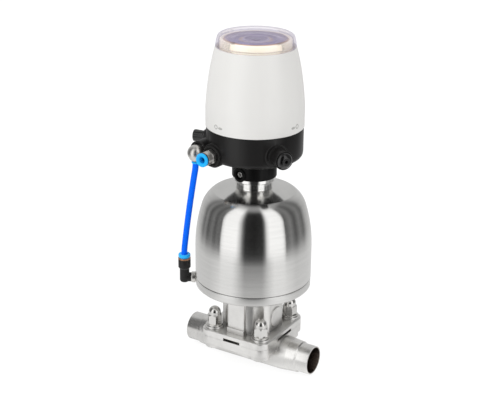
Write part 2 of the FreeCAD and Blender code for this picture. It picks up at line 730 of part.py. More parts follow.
def head_collar():
    blank = turned("head_collar_blank", [
        (spigot_fit, dim.collar_z), (dim.collar_rad - 0.6, dim.collar_z, 0.6),
        (dim.collar_rad, dim.collar_z + 0.6), (dim.collar_rad, dim.base_low),
        (16, dim.base_low), (16, 198.4), (spigot_fit, 198.4)])
    bosses = turned_set("set_boss", [
        (0, 17.1), (7.2, 17.1), (7.2, 22.1), (6.7, 22.6), (0, 22.6)], SET_SCREW_PLACES)
    holes = [cylinder("set_hole%d" % i, 3.05, 12, placement=radial(angle, SET_SCREW_Z, 15))
             for i, angle in enumerate(SET_SCREW_ANGLES)]
    sinks = turned_set("set_sink", [
        (0, 20.0), (4.3, 20.0), (4.3, 22.2), (5.0, 22.9), (0, 22.9)], SET_SCREW_PLACES)
    # clear the bosses away from the spigot and the rim
    spigot_trim = cylinder("set_trim", spigot_fit, 30, z=180)
    rim_trim = cylinder("set_rim_trim", dim.rim_rad + 0.08, 8, z=dim.collar_z - 8)
    solid = fuse("head_collar_solid", [blank] + bosses)
    return cut("head_collar", solid, holes + sinks + [spigot_trim, rim_trim])


piece(head_collar())
piece(socket_screws("set_screw", [
    (0, 15.5), (1.2, 15.5), (2.95, 17.2), (2.95, 20.8), (2.5, 21.3), (0, 21.3)],
    across_flats=3, socket_low=19.0, placements=SET_SCREW_PLACES))

# ================================================================ head base
# bosses: name, port, (radius, distance from the actuator axis) outline
PORT_BOSSES = [
    ("boss_a_big", "a", [(0, 34), (11.6, 34), (11.6, 46.3), (11.1, 46.8), (0, 46.8)]),
    ("boss_a_small", "a", [(0, 34), (10.2, 34), (10.2, 48.9), (9.7, 49.4), (0, 49.4)]),
    ("boss_b_big", "b", [(0, 12), (10.3, 12), (10.3, 44.0), (9.8, 44.5), (0, 44.5)]),
    ("boss_c_big", "c", [(0, 44), (8.4, 44), (8.4, 48.6), (8.0, 49), (0, 49)]),
    ("boss_g_big", "gland", [(0, 42.5), (11.7, 42.5), (11.7, 46.3), (11.1, 46.9),
                             (9.5, 46.9), (9.5, 48.1), (0, 48.1)]),
]
# holes and spot faces: name, port, radius, start from the actuator axis, length
PORT_HOLES = [
    ("hole_a", "a", 5, 34, 30), ("face_a", "a", 8.3, 48, 3),
    ("hole_b", "b", 5, 24, 30), ("face_b", "b", 8.2, 40, 20),
    ("hole_c", "c", 5, 36, 30), ("face_c", "c", 6.6, 49, 20),
    ("hole_g", "gland", 8.05, 36, 30),
]
FLOOR_Z = 206       # inside floor of the head


def head_base():
    inner_rad = dim.base_rad - dim.base_wall
    # inner wall from the lip down to the floor
    inner_wall = [(41.6, dim.base_top - 2), (inner_rad, dim.base_top - 5), (inner_rad, 210),
                  (40.5, FLOOR_Z)]
    cup = turned("head_cup", [
        (9.2, dim.base_low), (42, dim.base_low, 5.5), (dim.base_rad - 0.1, dim.base_low + 5.2),
        (dim.base_rad, dim.base_low + 6), (dim.base_rad, dim.base_top - 0.7),
        (dim.base_rad - 0.5, dim.base_top), (44.2, dim.base_top), (44.2, 240), (43.7, 240.6),
        (41.6, 240.6)] + inner_wall + [(9.2, FLOOR_Z)])
    bosses = [turned(name, points, port(side)) for name, side, points in PORT_BOSSES]
    cavity = turned("head_cavity", [(0, FLOOR_Z)] + inner_wall[::-1] + [(41.6, 241), (0, 241)])
    holes = [cylinder(name, radius, length, placement=port(side, reach))
             for name, side, radius, reach, length in PORT_HOLES]
    groove = turned("groove_head", ring_section(42.5, 46, 235.4, 237.9))
    solid = fuse("head_base_solid", [cup] + bosses)
    return cut("head_base", solid, [cavity] + holes + [groove])


piece(head_base())
piece(turned("cover_seal", [
    (42.55, 235.5), (44.3, 235.5), (44.46, 236.0), (44.46, 237.3), (44.3, 237.8),
    (42.55, 237.8)]))

# ================================================================ cover and lens
# gently tapering sleeve, open at the top for the lens
piece(turned("cover", [
    (44.5, dim.base_top + 0.1), (dim.cover_rad - 0.4, dim.base_top + 0.1),
    (dim.cover_rad, dim.base_top + 0.5), (dim.cover_rad, 252, 330), (43.0, 288, 250),
    (38.1, dim.lens_z - 0.2), (36.0, dim.lens_z - 0.2), (36.0, dim.lens_z - 2.6),
    (33.6, dim.lens_z - 2.6), (33.6, dim.lens_z - 5), (37.3, dim.lens_z - 6.8),
    (40.8, 288, -248), (44.5, 252)]))
piece(turned("lens", [
    (34.2, dim.lens_z - 2.5), (35.9, dim.lens_z - 2.5), (35.9, dim.lens_z), (38.0, dim.lens_z),
    (37.2, 315.2), (36.4, 317.9, 3.6), (33.4, 321.0, "dome"), (0, dim.lens_top),
    (0, dim.lens_top - 2.4), (32.4, 318.7), (34.4, 316.6), (35.2, 311.5), (34.2, 310.2)]))

# ================================================================ parts inside the head
PILLARS = [polar(34, angle) for angle in (30, 135, 250)]
piece(group("board_pillars", cylinder_set("pillar", PILLARS, 2.5, 50, FLOOR_Z)))
piece(cut("circuit_board", cylinder("board_blank", 38, 1.6, z=256),
          [box("board_notch", -50, -24, -20, 2, 250, 260)]))
piece(turned("position_sensor", [
    (7.5, FLOOR_Z), (13, FLOOR_Z), (13, 232), (12.2, 233), (7.5, 233)]))
piece(turned("sensor_target", [
    (0, 196.5), (dim.rod_rad, 196.5), (dim.rod_rad, 201.5), (6.6, 202), (6.6, 211), (6, 211.6),
    (0, 211.6)]))
# stepped light guide behind the lens
piece(turned("light_ring", [
    (30.8, 299.6), (32.6, 299.6), (33.3, 303.2), (33.3, 307.2), (33.9, 307.8), (33.9, 315.9),
    (33.1, 316.8), (31.3, 316.8), (30.8, 316.3)]))
# disc with raised rings, on a central tube
piece(turned("indicator_disc", [
    (3.5, 257.6), (6.5, 257.6), (6.5, 311), (30.8, 311), (30.8, 315.8), (29.6, 317.1),
    (28.2, 317.1), (27.2, 316.1), (21.6, 315.7), (20.8, 316.9), (19.2, 316.9), (18.4, 315.6),
    (12.8, 315.4), (12, 316.8), (10.6, 316.8), (9.8, 315.6), (4.4, 315.4), (3.9, 316.2),
    (3.5, 316.2)]))

# ================================================================ pilot valve
PILOT_X, PILOT_Y = -27, -9      # axis of coil and plunger
PLUNGER_RAD = 4
BLOCK_TOP = 229
LEVER_Z = 213
LEVER_RAD = 2
LEVER_HALF = 1.2                # half width of the lever arm
pilot_axis = upright(PILOT_X, PILOT_Y)
plunger_fit = dim.gap + PLUNGER_RAD


def lever_part(name, radius, length, x):
    """Cylinder on the lever axis that runs towards -X from x."""
    return cylinder(name, radius, length, placement=facing_x(x, PILOT_Y, LEVER_Z, -1))


def pilot_valve():
    block = box("pilot_block", -36.5, -16, -17, 1, 206.2, BLOCK_TOP)
    bore = cylinder("pilot_bore", plunger_fit, 20, PILOT_X, PILOT_Y, 217)
    lever_bore = lever_part("pilot_lever_bore", dim.gap + LEVER_RAD, 8, -15)
    return cut("pilot_valve", block, [bore, lever_bore])


def override_lever():
    return fuse("override_lever", [
        lever_part("lever_hub", LEVER_RAD, 8.5, -14),
        lever_part("lever_head", 3.4, 1.6, -14.2),
        box("lever_arm", -15.8, -14.2, PILOT_Y - LEVER_HALF, PILOT_Y + LEVER_HALF,
            LEVER_Z, 220.5)])


piece(pilot_valve())
piece(turned("pilot_coil", [
    (plunger_fit, BLOCK_TOP), (9.4, BLOCK_TOP), (9.4, 251), (8.9, 251.5), (0, 251.5), (0, 246),
    (plunger_fit, 246)], pilot_axis))
piece(turned("pilot_plunger", [
    (0, 218.2), (1.5, 218.2), (1.5, 220), (PLUNGER_RAD, 220), (PLUNGER_RAD, 244.5),
    (0, 244.5)], pilot_axis))
piece(override_lever())

# ================================================================ port A
# Heights of pieces placed by port() are distances from the actuator axis.


def port_a_fitting():
    blank = turned("port_a_blank", [
        (3.05, 40), (4.9, 40), (4.9, 48.1), (7.5, 48.1), (7.5, 53.2), (6.5, 53.8), (6.5, 59.3),
        (6.2, 59.6), (5.6, 59.6), (5.6, 55.3), (3.05, 55.3)])
    # hexagon over its own length, round elsewhere
    hexagonal = padded("port_a_hex", hexagon(13, 30), 48.1, 5.4)
    core = cylinder("port_a_core", 6.55, 24, z=38)
    keep = fuse("port_a_keep", [hexagonal, core])
    return placed(common("port_a_fitting", blank, keep), port("a"))


piece(port_a_fitting())
piece(turned("port_a_ring", ring_section(5.2, 6.5, 59.6, 60.3), port("a")))
piece(turned("port_a_sleeve", [
    (3.1, 56.6), (5.1, 56.6), (5.1, 61.4), (6.6, 61.4), (6.6, 63.0), (6.1, 63.7), (4.3, 63.7),
    (3.1, 62.5)], port("a")))

# ================================================================ port B elbow
BALL_RAD = 7.8          # ball round the crossing of arm and leg
LEG_RAD = 6.3           # leg where it enters the ball
ARM_START = 41.6        # outer end of the threaded piece
ARM_SHORT = 2           # arm stops this far before the leg axis
tube_top_axis = upright(tube_top_x, tube_top_y)

piece(turned("port_b_thread", [
    (2.6, 33), (4.9, 33), (4.9, 40), (6.0, 40), (6.0, ARM_START), (2.6, ARM_START)],
    port("b")))


def port_b_elbow():
    ball_z = dim.port_b_z.value
    ball_low = ball_z - math.sqrt(BALL_RAD ** 2 - LEG_RAD ** 2)
    leg = turned("elbow_b_leg", [
        (0, 204.0), (4.8, 204.0), (5.4, 204.6), (LEG_RAD, ball_low, BALL_RAD),
        (BALL_RAD, ball_z, "dome"), (0, ball_z + BALL_RAD)], tube_top_axis)
    arm = cylinder("elbow_b_arm", 5.9, port_b_reach - ARM_START - ARM_SHORT,
                   placement=port("b", ARM_START))
    bore = turned("elbow_b_bore", [
        (0, 200), (3.5, 200), (3.5, 207.2), (3.05, 207.4), (3.05, 210), (2.2, 211), (2.2, 214),
        (0, 214)], tube_top_axis)
    side_bore = cylinder("elbow_b_side", 1.9, 9, placement=port("b", ARM_START - 1))
    face = cylinder("elbow_b_face", 8.2, 3.6, placement=port("b", 38))
    return cut("port_b_elbow", fuse("elbow_b_solid", [leg, arm]), [bore, side_bore, face])


piece(port_b_elbow())
piece(turned("port_b_ring", ring_section(3.5, 3.9, 203.3, 204), tube_top_axis))
piece(turned("port_b_sleeve", [
    (3.06, 200.9), (3.7, 200.9), (3.9, 201.1), (3.9, 202.4), (3.42, 202.4), (3.42, 206.2),
    (3.06, 206.2)], tube_top_axis))


# ================================================================ port C silencer
def silencer():
    blank = turned("silencer_blank", [
        (2.2, 42.5), (4.9, 42.5), (4.9, 49), (6.3, 49), (6.3, 50.8), (5.3, 51.4),
        (5.9, 60, 1.3), (4.4, 61.4), (0, 61.4), (0, 57), (2.2, 57)])
    body = fluted("silencer", blank, "silencer_flute", reach=6.1, start=12,
                  flute_rad=1.25, length=12, low=51.8)
    return placed(body, port("c"))


piece(silencer())

# ================================================================ cable gland
piece(turned("gland_body", [
    (4.6, 40), (8, 40), (8, 48.1), (9.3, 48.1), (9.3, 48.9), (9.0, 49.3), (9.0, 61.4),
    (8.65, 61.9), (8.15, 61.9), (8.15, 57.4), (4.6, 57.4)], port("gland")))
piece(turned("gland_seal", [
    (1.6, 52), (4.55, 52), (4.55, 57.2), (3.35, 60.6), (3.35, 65.8), (3.05, 66.1),
    (1.6, 66.1)], port("gland")))


def gland_nut():
    blank = turned("gland_nut_blank", [
        (4.9, 57.5), (8.0, 57.5), (8.0, 61.5, 6.3), (3.9, 65.9), (3.4, 65.9), (3.4, 60.9),
        (4.9, 58.6)])
    nut = fluted("gland_nut", blank, "gland_nut_flute", reach=8.95, start=10,
                 flute_rad=1.5, length=5.4, low=62.2)
    return placed(nut, port("gland"))


piece(gland_nut())

# ================================================================ lower elbow on the base ring
ELBOW_START = 61.8      # outer end of the threaded piece
tube_low_axis = upright(tube_low_x, tube_low_y)

piece(turned("elbow_thread", [
    (2.1, 50.5), (3.85, 50.5), (3.85, 57.6), (5.5, 57.6), (5.5, 61), (4.9, ELBOW_START),
    (2.1, ELBOW_START)], port("elbow")))


def elbow_body():
    leg = turned("elbow_low_leg", [
        (0, 68.3), (3.2, 68.3, 2.2), (4.8, 70.2), (4.8, 82.6), (6.2, 84.4), (6.2, 93),
        (0, 93)], tube_low_axis)
    arm = cylinder("elbow_low_arm", 4.6, 6.9, placement=port("elbow", ELBOW_START))
    bore = turned("elbow_low_bore", [
        (0, 71.5), (2.2, 71.5), (2.2, 83), (3.05, 84), (3.05, 86.4), (5.2, 86.6), (5.2, 94),
        (0, 94)], tube_low_axis)
    side_bore = cylinder("elbow_low_side", 1.9, 9, placement=port("elbow", 60))
    return cut("elbow_body", fuse("elbow_low_solid", [leg, arm]), [bore, side_bore])


piece(elbow_body())
piece(turned("elbow_ring", [
    (5.25, 93), (6.2, 93), (6.2, 94.2), (6, 94.5), (5.25, 94.5)], tube_low_axis))
piece(turned("elbow_sleeve", [
    (3.06, 88), (5.1, 88), (5.1, 95.6), (6, 95.6), (6, 97.8), (5.6, 98.4), (3.5, 98.4),
    (3.06, 98)], tube_low_axis))

# ================================================================ air tube
# The tube leaves both fittings upright, bends over shortly and runs almost
# straight between them, all in one upright plane.
TUBE_TOP_Z, TUBE_LOW_Z = 209.6, 86.8
BEND_TOP_Z, BEND_LOW_Z = 202.0, 99.5    # where the upright ends turn into the bends
BEND_RAD = 34.0
HALF_BOW = math.radians(2.5)            # half the angle the long middle arc turns
TUBE_WALL = 1


def tube_path(span):
    """(distance, height) path of the tube's centre line; span is its level length."""
    lean = math.atan2(span, BEND_TOP_Z - BEND_LOW_Z)
    # settle the lean of the middle run so that it meets both bends smoothly
    for _ in range(60):
        upper, lower = lean + HALF_BOW, lean - HALF_BOW
        upper_x = BEND_RAD * (1 - math.cos(upper))
        upper_z = BEND_TOP_Z - BEND_RAD * math.sin(upper)
        lower_x = span - BEND_RAD * (1 - math.cos(lower))
        lower_z = BEND_LOW_Z + BEND_RAD * math.sin(lower)
        lean = math.atan2(lower_x - upper_x, upper_z - lower_z)
    chord = math.hypot(upper_x - lower_x, upper_z - lower_z)
    bow_rad = chord / (2 * math.sin(HALF_BOW))
    return [(0, TUBE_TOP_Z), (0, BEND_TOP_Z, BEND_RAD), (upper_x, upper_z, -bow_rad),
            (lower_x, lower_z, -BEND_RAD), (span, BEND_LOW_Z), (span, TUBE_LOW_Z)]


def air_tube():
    run_x, run_y = tube_low_x - tube_top_x, tube_low_y - tube_top_y
    tube = add_object("PartDesign::Body", "air_tube")
    path = sketch_on(tube, "XZ_Plane", "air_tube_path")
    draw_outline(path, tube_path(math.hypot(run_x, run_y)), closed=False)
    ring = sketch_on(tube, "XY_Plane", "air_tube_ring", TUBE_TOP_Z)
    draw_circle(ring, dim.tube_rad)
    draw_circle(ring, dim.tube_rad - TUBE_WALL)
    sweep = tube.newObject("PartDesign::AdditivePipe", "air_tube_sweep")
    sweep.Profile = ring
    sweep.Spine = (path, [])
    tube.Tip = sweep
    heading = math.degrees(math.atan2(run_y, run_x))
    return placed(tube, upright(tube_top_x, tube_top_y, heading))


piece(air_tube())

# ================================================================ check and write
doc.recompute()
problems = ["%s %s" % (obj.Name, obj.State) for obj in doc.Objects
            if any("Invalid" in state or "Error" in state for state in obj.State)]
for obj in pieces:
    shape = obj.Shape
    if shape.isNull() or not shape.isValid() or not shape.Solids:
        problems.append("%s has no valid solid" % obj.Label)
if problems:
    raise RuntimeError("\n".join(problems))
os.makedirs("parts", exist_ok=True)
for obj in pieces:
    obj.Shape.exportStep("parts/%s.step" % obj.Label)
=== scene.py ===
import math

import bmesh
import bpy
from mathutils import Matrix, Vector


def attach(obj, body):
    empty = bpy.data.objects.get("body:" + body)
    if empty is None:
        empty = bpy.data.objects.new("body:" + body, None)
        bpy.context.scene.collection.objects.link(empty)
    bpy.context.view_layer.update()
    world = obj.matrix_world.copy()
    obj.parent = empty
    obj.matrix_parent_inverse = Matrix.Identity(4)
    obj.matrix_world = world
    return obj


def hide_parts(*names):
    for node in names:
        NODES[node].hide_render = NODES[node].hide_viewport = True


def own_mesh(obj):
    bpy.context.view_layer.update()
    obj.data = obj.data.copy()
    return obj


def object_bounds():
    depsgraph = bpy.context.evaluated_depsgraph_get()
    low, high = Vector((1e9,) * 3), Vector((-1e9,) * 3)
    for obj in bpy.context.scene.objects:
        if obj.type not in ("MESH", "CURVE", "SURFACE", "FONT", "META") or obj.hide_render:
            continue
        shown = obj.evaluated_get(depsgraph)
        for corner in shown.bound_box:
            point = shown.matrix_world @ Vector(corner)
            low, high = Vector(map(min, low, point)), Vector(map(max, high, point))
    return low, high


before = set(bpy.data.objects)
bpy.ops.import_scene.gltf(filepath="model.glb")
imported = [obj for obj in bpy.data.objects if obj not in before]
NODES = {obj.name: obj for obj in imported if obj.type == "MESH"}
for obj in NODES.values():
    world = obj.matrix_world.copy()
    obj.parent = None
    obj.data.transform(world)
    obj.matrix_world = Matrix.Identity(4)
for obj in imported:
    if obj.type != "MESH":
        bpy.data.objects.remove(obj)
LO0, HI0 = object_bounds()
SCENE = bpy.context.scene
MM = 0.001

# ---------------------------------------------------------------- shared sizes
DOME_FOOT = 77.5                 # lower rim of the actuator dome

# lens crown: a shallow cap from its shoulder up to the axis
CROWN_RADIUS = 33.4
CROWN_FOOT, CROWN_TOP = 321.0, 323.4
CROWN_RISE = CROWN_TOP - CROWN_FOOT
CROWN_ARC = (CROWN_RADIUS * CROWN_RADIUS + CROWN_RISE * CROWN_RISE) / (2 * CROWN_RISE)


def polar(radius, degrees):
    """Place (x, y) at a distance and direction from the valve axis."""
    angle = math.radians(degrees)
    return radius * math.cos(angle), radius * math.sin(angle)


PORT_B = polar(59.0, -129.5)     # upper end of the air hose
ELBOW = polar(68.5, 211.0)       # lower end of the air hose
HOSE_RADII = (3.0, 2.0)          # outer, bore
HOSE_TOP, HOSE_LOW = 209.6, 86.8
BEND_TOP, BEND_LOW = 202.0, 99.5  # heights where the straight ends meet the bends
BEND_RADIUS = 34.0
BOW_HALF = math.radians(2.5)     # half the turn of the slightly bowed middle run

# camera
AZIMUTH, ELEVATION, ROLL = 31.023, 21.247, 0.644      # degrees
CAMERA_PLACE = (0.527724, -0.885107, 0.55688)         # metres
SENSOR_WIDTH, FOCAL_LENGTH = 36.0, 81.649656
TO_CAMERA = math.radians(AZIMUTH - 90.0)   # direction from the valve to the camera, about Z


# ---------------------------------------------------------------- node graphs
class Graph:
    """Writes the nodes of a material or world in a few lines."""

    def __init__(self, owner):
        owner.use_nodes = True
        self.owner = owner
        self.tree = owner.node_tree
        self.tree.nodes.clear()

    def node(self, kind, inputs=None, **props):
        node = self.tree.nodes.new("ShaderNode" + kind)
        for key, value in props.items():
            setattr(node, key, value)
        for key, value in (inputs or {}).items():
            self.put(node.inputs[key], value)
        return node

    def put(self, socket, value):
        if isinstance(value, bpy.types.NodeSocket):
            self.tree.links.new(value, socket)
        elif socket.type == "RGBA" and len(value) == 3:
            socket.default_value = (*value, 1.0)
        else:
            socket.default_value = value

    def shader(self, kind, inputs):
        return self.node(kind, inputs).outputs[0]

    def mix_shader(self, factor, first, second):
        return self.shader("MixShader", {0: factor, 1: first, 2: second})

    def math(self, operation, *values):
        return self.node("Math", dict(enumerate(values)), operation=operation).outputs[0]

    def add(self, a, b):
        return self.math("ADD", a, b)

    def mul(self, a, b):
        return self.math("MULTIPLY", a, b)

    def hypot(self, a, b):
        return self.math("SQRT", self.add(self.mul(a, a), self.mul(b, b)))

    def circle(self, angle, radius):
        """Two coordinates that close up round an axis, without a seam."""
        return (self.mul(self.math("SINE", angle), radius),
                self.mul(self.math("COSINE", angle), radius))

    def vector(self, operation, a, b):
        node = self.node("VectorMath", {0: a, 1: b}, operation=operation)
        return node.outputs["Vector"]

    def noise(self, vector, scale=1.0, detail=3.0, rough=0.5, distort=0.0):
        return self.node("TexNoise", {"Vector": vector, "Scale": scale, "Detail": detail,
                                      "Roughness": rough, "Distortion": distort}).outputs["Fac"]

    def ramp(self, factor, stops):
        """Colour ramp from (position, grey level or colour) stops."""
        node = self.node("ValToRGB", {"Fac": factor})
        elements = node.color_ramp.elements
        while len(elements) > 1:
            elements.remove(elements[-1])
        for i, (position, colour) in enumerate(stops):
            if not isinstance(colour, tuple):
                colour = (colour, colour, colour)
            element = elements[0] if i == 0 else elements.new(position)
            element.position = position
            element.color = (*colour, 1.0)
        return node.outputs["Color"]

    def remap(self, value, source, to=(0.0, 1.0)):
        """Clamped change of range, from the source pair to the target pair."""
        return self.node("MapRange", {"Value": value, "From Min": source[0],
                                      "From Max": source[1], "To Min": to[0],
                                      "To Max": to[1]}).outputs["Result"]

    def mix(self, factor, a, b):
        return self.node("Mix", {0: factor, 6: a, 7: b}, data_type="RGBA").outputs[2]

    def bump(self, height, strength, depth, normal=None):
        """Bumped normal, depth in mm."""
        inputs = {"Height": height, "Strength": strength, "Distance": depth * MM}
        if normal is not None:
            inputs["Normal"] = normal
        return self.node("Bump", inputs).outputs["Normal"]

    def edge_normal(self, radius):
        """Normal with slightly rounded edges, radius in mm; none for radius 0."""
        if not radius:
            return None
        return self.node("Bevel", {"Radius": radius * MM}, samples=4).outputs["Normal"]

    def occlusion(self, reach):
        node = self.node("AmbientOcclusion", {"Distance": reach * MM}, samples=4)
        return node.outputs["AO"]

    def coord(self):
        return self.node("TexCoord").outputs["Object"]

    def xyz(self, vector):
        return tuple(self.node("SeparateXYZ", {"Vector": vector}).outputs)

    def join(self, x, y, z):
        return self.node("CombineXYZ", {0: x, 1: y, 2: z}).outputs[0]

    def output(self, shader, kind="OutputMaterial"):
        self.node(kind, {"Surface": shader})
        return self.owner

    def principled(self, inputs):
        return self.output(self.shader("BsdfPrincipled", inputs))


def new_material(name):
    return Graph(bpy.data.materials.new(name))


def shift_colour(colour, gain, lift=0.0):
    return tuple(min(1.0, c * gain + lift) for c in colour)


# ---------------------------------------------------------------- metals
def brushed(name, base, rough, anisotropy, lines, edge, joint=None):
    """Stainless brushed round the Z axis; lines scales the relief of the brush marks."""
    spread = 0.05                # variation of the roughness
    g = new_material(name)
    place = g.vector("SUBTRACT", g.coord(), (0.0, 0.0, 0.0))
    x, y, z = g.xyz(place)
    angle = g.math("ARCTAN2", y, x)
    radius = g.hypot(x, y)
    along = g.mul(g.add(z, g.mul(radius, 0.7)), 2600.0)
    fine = g.noise(g.join(*g.circle(angle, radius=0.25), along), detail=4.0, rough=0.65)
    wide = g.noise(g.join(*g.circle(angle, radius=1.3), g.mul(z, 420.0)), rough=0.6)
    blotch = g.noise(place, scale=38.0, rough=0.55)
    roughness = g.add(rough - spread / 2, g.mul(fine, spread))
    roughness = g.add(roughness, g.mul(blotch, spread * 0.7))
    tint = g.mix(g.remap(wide, (0.35, 0.65)),
                 shift_colour(base, gain=0.965), shift_colour(base, gain=1.02))
    if joint is not None:
        # painted shade: a dark band is painted in the joint line at the lower rim, where the
        # gap lies in shade
        joint_shade = g.remap(z, ((joint + 0.35) * MM, (joint + 1.0) * MM), to=(0.88, 0.0))
        tint = g.mix(joint_shade, tint, (0.05, 0.048, 0.045))
    height = g.add(g.mul(fine, 0.7), g.mul(wide, 0.3))
    normal = g.bump(height, strength=0.08 * lines, depth=0.02, normal=g.edge_normal(edge))
    tangent = g.node("Tangent", direction_type="RADIAL", axis="Z").outputs["Tangent"]
    return g.principled({
        "Base Color": tint, "Metallic": 1.0, "Roughness": roughness,
        "Anisotropic": anisotropy, "Anisotropic Rotation": 0.25,
        "Tangent": tangent, "Normal": normal})


def turned_pipe_ends(g, place, cast_normal, roughness, tint):
    """Finely turned ends and painted shade in the bore for the body; returns normal, roughness,
    tint.
    """
    x, y, z = g.xyz(place)
    angle = g.math("ARCTAN2", z, y)
    lines = g.noise(g.join(g.mul(x, 2400.0), *g.circle(angle, radius=0.3)),
                    detail=4.0, rough=0.6)
    turned_normal = g.bump(lines, strength=0.12, depth=0.02, normal=g.edge_normal(0.25))
    is_end = g.remap(g.math("ABSOLUTE", x), (46.2 * MM, 47.5 * MM))
    normal = g.node("Mix", {0: is_end, 4: cast_normal, 5: turned_normal},
                    data_type="VECTOR").outputs[1]
    roughness = g.math("SUBTRACT", roughness, g.mul(is_end, 0.10))
    # painted shade: the flow way within is electropolished and only lit through the ends, so
    # its colour is painted darker, with a streaky brown tone
    bore_shade = g.remap(g.hypot(y, z), (13.45 * MM, 13.6 * MM), to=(1.0, 0.0))
    streak = g.noise(g.join(g.mul(x, 40.0), *g.circle(angle, radius=4.0)), rough=0.6)
    bore_shade_colour = g.mix(g.remap(streak, (0.35, 0.7)), (0.15, 0.125, 0.11), (0.44, 0.39, 0.355))
    return normal, roughness, g.mix(bore_shade, tint, bore_shade_colour)


def blasted(name, base, rough, pipe_ends=False):
    """Investment-cast and bead-blasted stainless."""
    g = new_material(name)
    place = g.coord()
    grain = g.noise(place, scale=2600.0, rough=0.6)
    orange_peel = g.noise(place, scale=420.0, rough=0.55)
    cloud = g.noise(place, scale=55.0, detail=4.0, rough=0.6)
    tint = g.mix(g.remap(cloud, (0.35, 0.7)),
                 shift_colour(base, gain=0.90), shift_colour(base, gain=1.06))
    # painted shade: ambient occlusion darkens the colour in crevices, grooves and contact spots
    crevice_shade = g.remap(g.occlusion(reach=9.0), (0.25, 0.85), to=(0.55, 0.0))
    tint = g.mix(crevice_shade, tint, (0.20, 0.19, 0.18))
    roughness = g.add(rough - 0.05, g.mul(cloud, 0.12))
    height = g.add(g.mul(grain, 0.45), g.mul(orange_peel, 0.55))
    normal = g.bump(height, strength=0.22, depth=0.06, normal=g.edge_normal(0.9))
    if pipe_ends:
        normal, roughness, tint = turned_pipe_ends(g, place, normal, roughness, tint)
    return g.principled({"Base Color": tint, "Metallic": 1.0, "Roughness": roughness,
                         "Normal": normal})


def polished(name, base=(0.80, 0.79, 0.77), rough=0.12, wear=0.06):
    """Bright turned metal with light tool marks; wear is the roughness of the smears."""
    g = new_material(name)
    place = g.coord()
    marks = g.noise(g.vector("MULTIPLY", place, (400.0, 400.0, 2600.0)), rough=0.6)
    smear = g.noise(place, scale=160.0, detail=4.0, rough=0.6)
    roughness = g.add(rough, g.mul(smear, wear))
    tint = g.mix(smear, shift_colour(base, gain=0.94), base)
    height = g.add(g.mul(marks, 0.6), g.mul(smear, 0.4))
    normal = g.bump(height, strength=0.10, depth=0.02, normal=g.edge_normal(0.25))
    return g.principled({"Base Color": tint, "Metallic": 1.0, "Roughness": roughness,
                         "Normal": normal})


# ---------------------------------------------------------------- plastics
def plastic(name, base, rough, grain=1.0, coat=0.0, edge=0.4, spec=0.5, mottle=0.06,
            sss=0.0, lift=0.0, bore_shade=None, glow=0.0):
    """Moulded plastic: spark-eroded grain, faint flow mottling, and a painted highlight by lift
    that pales the convex edges and a little of the mottling.
    """
    g = new_material(name)
    place = g.coord()
    texture = g.noise(place, scale=1800.0, detail=2.0)
    flow = g.noise(g.vector("MULTIPLY", place, (30.0, 30.0, 14.0)), distort=0.4)
    tint = g.mix(g.remap(flow, (0.3, 0.7)), shift_colour(base, gain=1 - mottle),
                 shift_colour(base, gain=1 + mottle, lift=lift * 0.2))
    if lift:
        # painted highlight: pointiness picks out the convex edges, which are painted paler
        convex = g.remap(g.node("NewGeometry").outputs["Pointiness"], (0.5, 0.62))
        tint = g.mix(g.mul(convex, 0.6), tint, shift_colour(base, gain=1.0, lift=lift))
    if bore_shade:
        # painted shade: light hardly reaches the bore, so ambient occlusion paints the colour
        # deeper there
        deep = g.remap(g.occlusion(reach=5.0), (0.10, 0.55), to=(1.0, 0.0))
        tint = g.mix(deep, tint, bore_shade)
    inputs = {
        "Base Color": tint,
        "Roughness": g.add(rough - 0.04, g.mul(flow, 0.08)),
        "Specular IOR Level": spec,
        "Normal": g.bump(texture, strength=0.10 * grain, depth=0.03,
                         normal=g.edge_normal(edge)),
        "Coat Weight": coat,
        "Coat Roughness": 0.15}
    if sss:
        inputs["Subsurface Weight"] = sss
        inputs["Subsurface Radius"] = (0.004, 0.004, 0.004)
        inputs["Subsurface Scale"] = 0.6
    # painted glow: emission makes the part shine though it is no lamp
    if glow:
        inputs["Emission Color"] = tint
        inputs["Emission Strength"] = glow
    return g.principled(inputs)


# ---------------------------------------------------------------- other materials
def board_material():
    """Green circuit board with a grid of tracks."""
    g = new_material("board_green")
    place = g.coord()
    tracks = g.node("TexBrick", {"Vector": g.vector("MULTIPLY", place, (260.0, 260.0, 1.0)),
                                 "Scale": 1.0, "Mortar Size": 0.03}).outputs["Fac"]
    blotch = g.noise(place, scale=90.0)
    tint = g.mix(tracks, (0.02, 0.14, 0.05), (0.05, 0.26, 0.10))
    tint = g.mix(g.mul(blotch, 0.3), tint, (0.01, 0.08, 0.03))
    return g.principled({"Base Color": tint, "Roughness": 0.3,
                         "Normal": g.bump(tracks, strength=0.3, depth=0.04)})


# share of the reflector radius, colour
REFLECTOR_RINGS = [
    (0.0, (0.80, 0.78, 0.85)), (0.10, (0.75, 0.72, 0.82)), (0.13, (0.20, 0.16, 0.26)),
    (0.30, (0.26, 0.21, 0.33)), (0.36, (0.52, 0.46, 0.62)), (0.40, (0.85, 0.78, 0.86)),
    (0.44, (0.80, 0.60, 0.42)), (0.50, (0.62, 0.46, 0.30)), (0.54, (0.30, 0.25, 0.42)),
    (0.64, (0.36, 0.32, 0.52)), (0.72, (0.44, 0.40, 0.62)), (0.84, (0.34, 0.28, 0.46)),
    (0.92, (0.46, 0.36, 0.44)), (0.97, (0.72, 0.46, 0.26)), (1.0, (0.95, 0.84, 0.64))]


def reflector_material():
    """Stepped violet reflector with amber rings."""
    g = new_material("reflector_violet")
    place = g.coord()
    x, y, _ = g.xyz(place)
    radius = g.hypot(x, y)
    tint = g.ramp(g.math("DIVIDE", radius, 30.9 * MM), REFLECTOR_RINGS)
    ridges = g.math("SINE", g.mul(radius, 6200.0))
    blotch = g.noise(place, scale=60.0)
    tint = g.mix(g.mul(blotch, 0.35), tint, (0.60, 0.55, 0.72))
    return g.principled({"Base Color": tint, "Metallic": 0.35, "Roughness": 0.28,
                         "Normal": g.bump(ridges, strength=0.35, depth=0.05)})


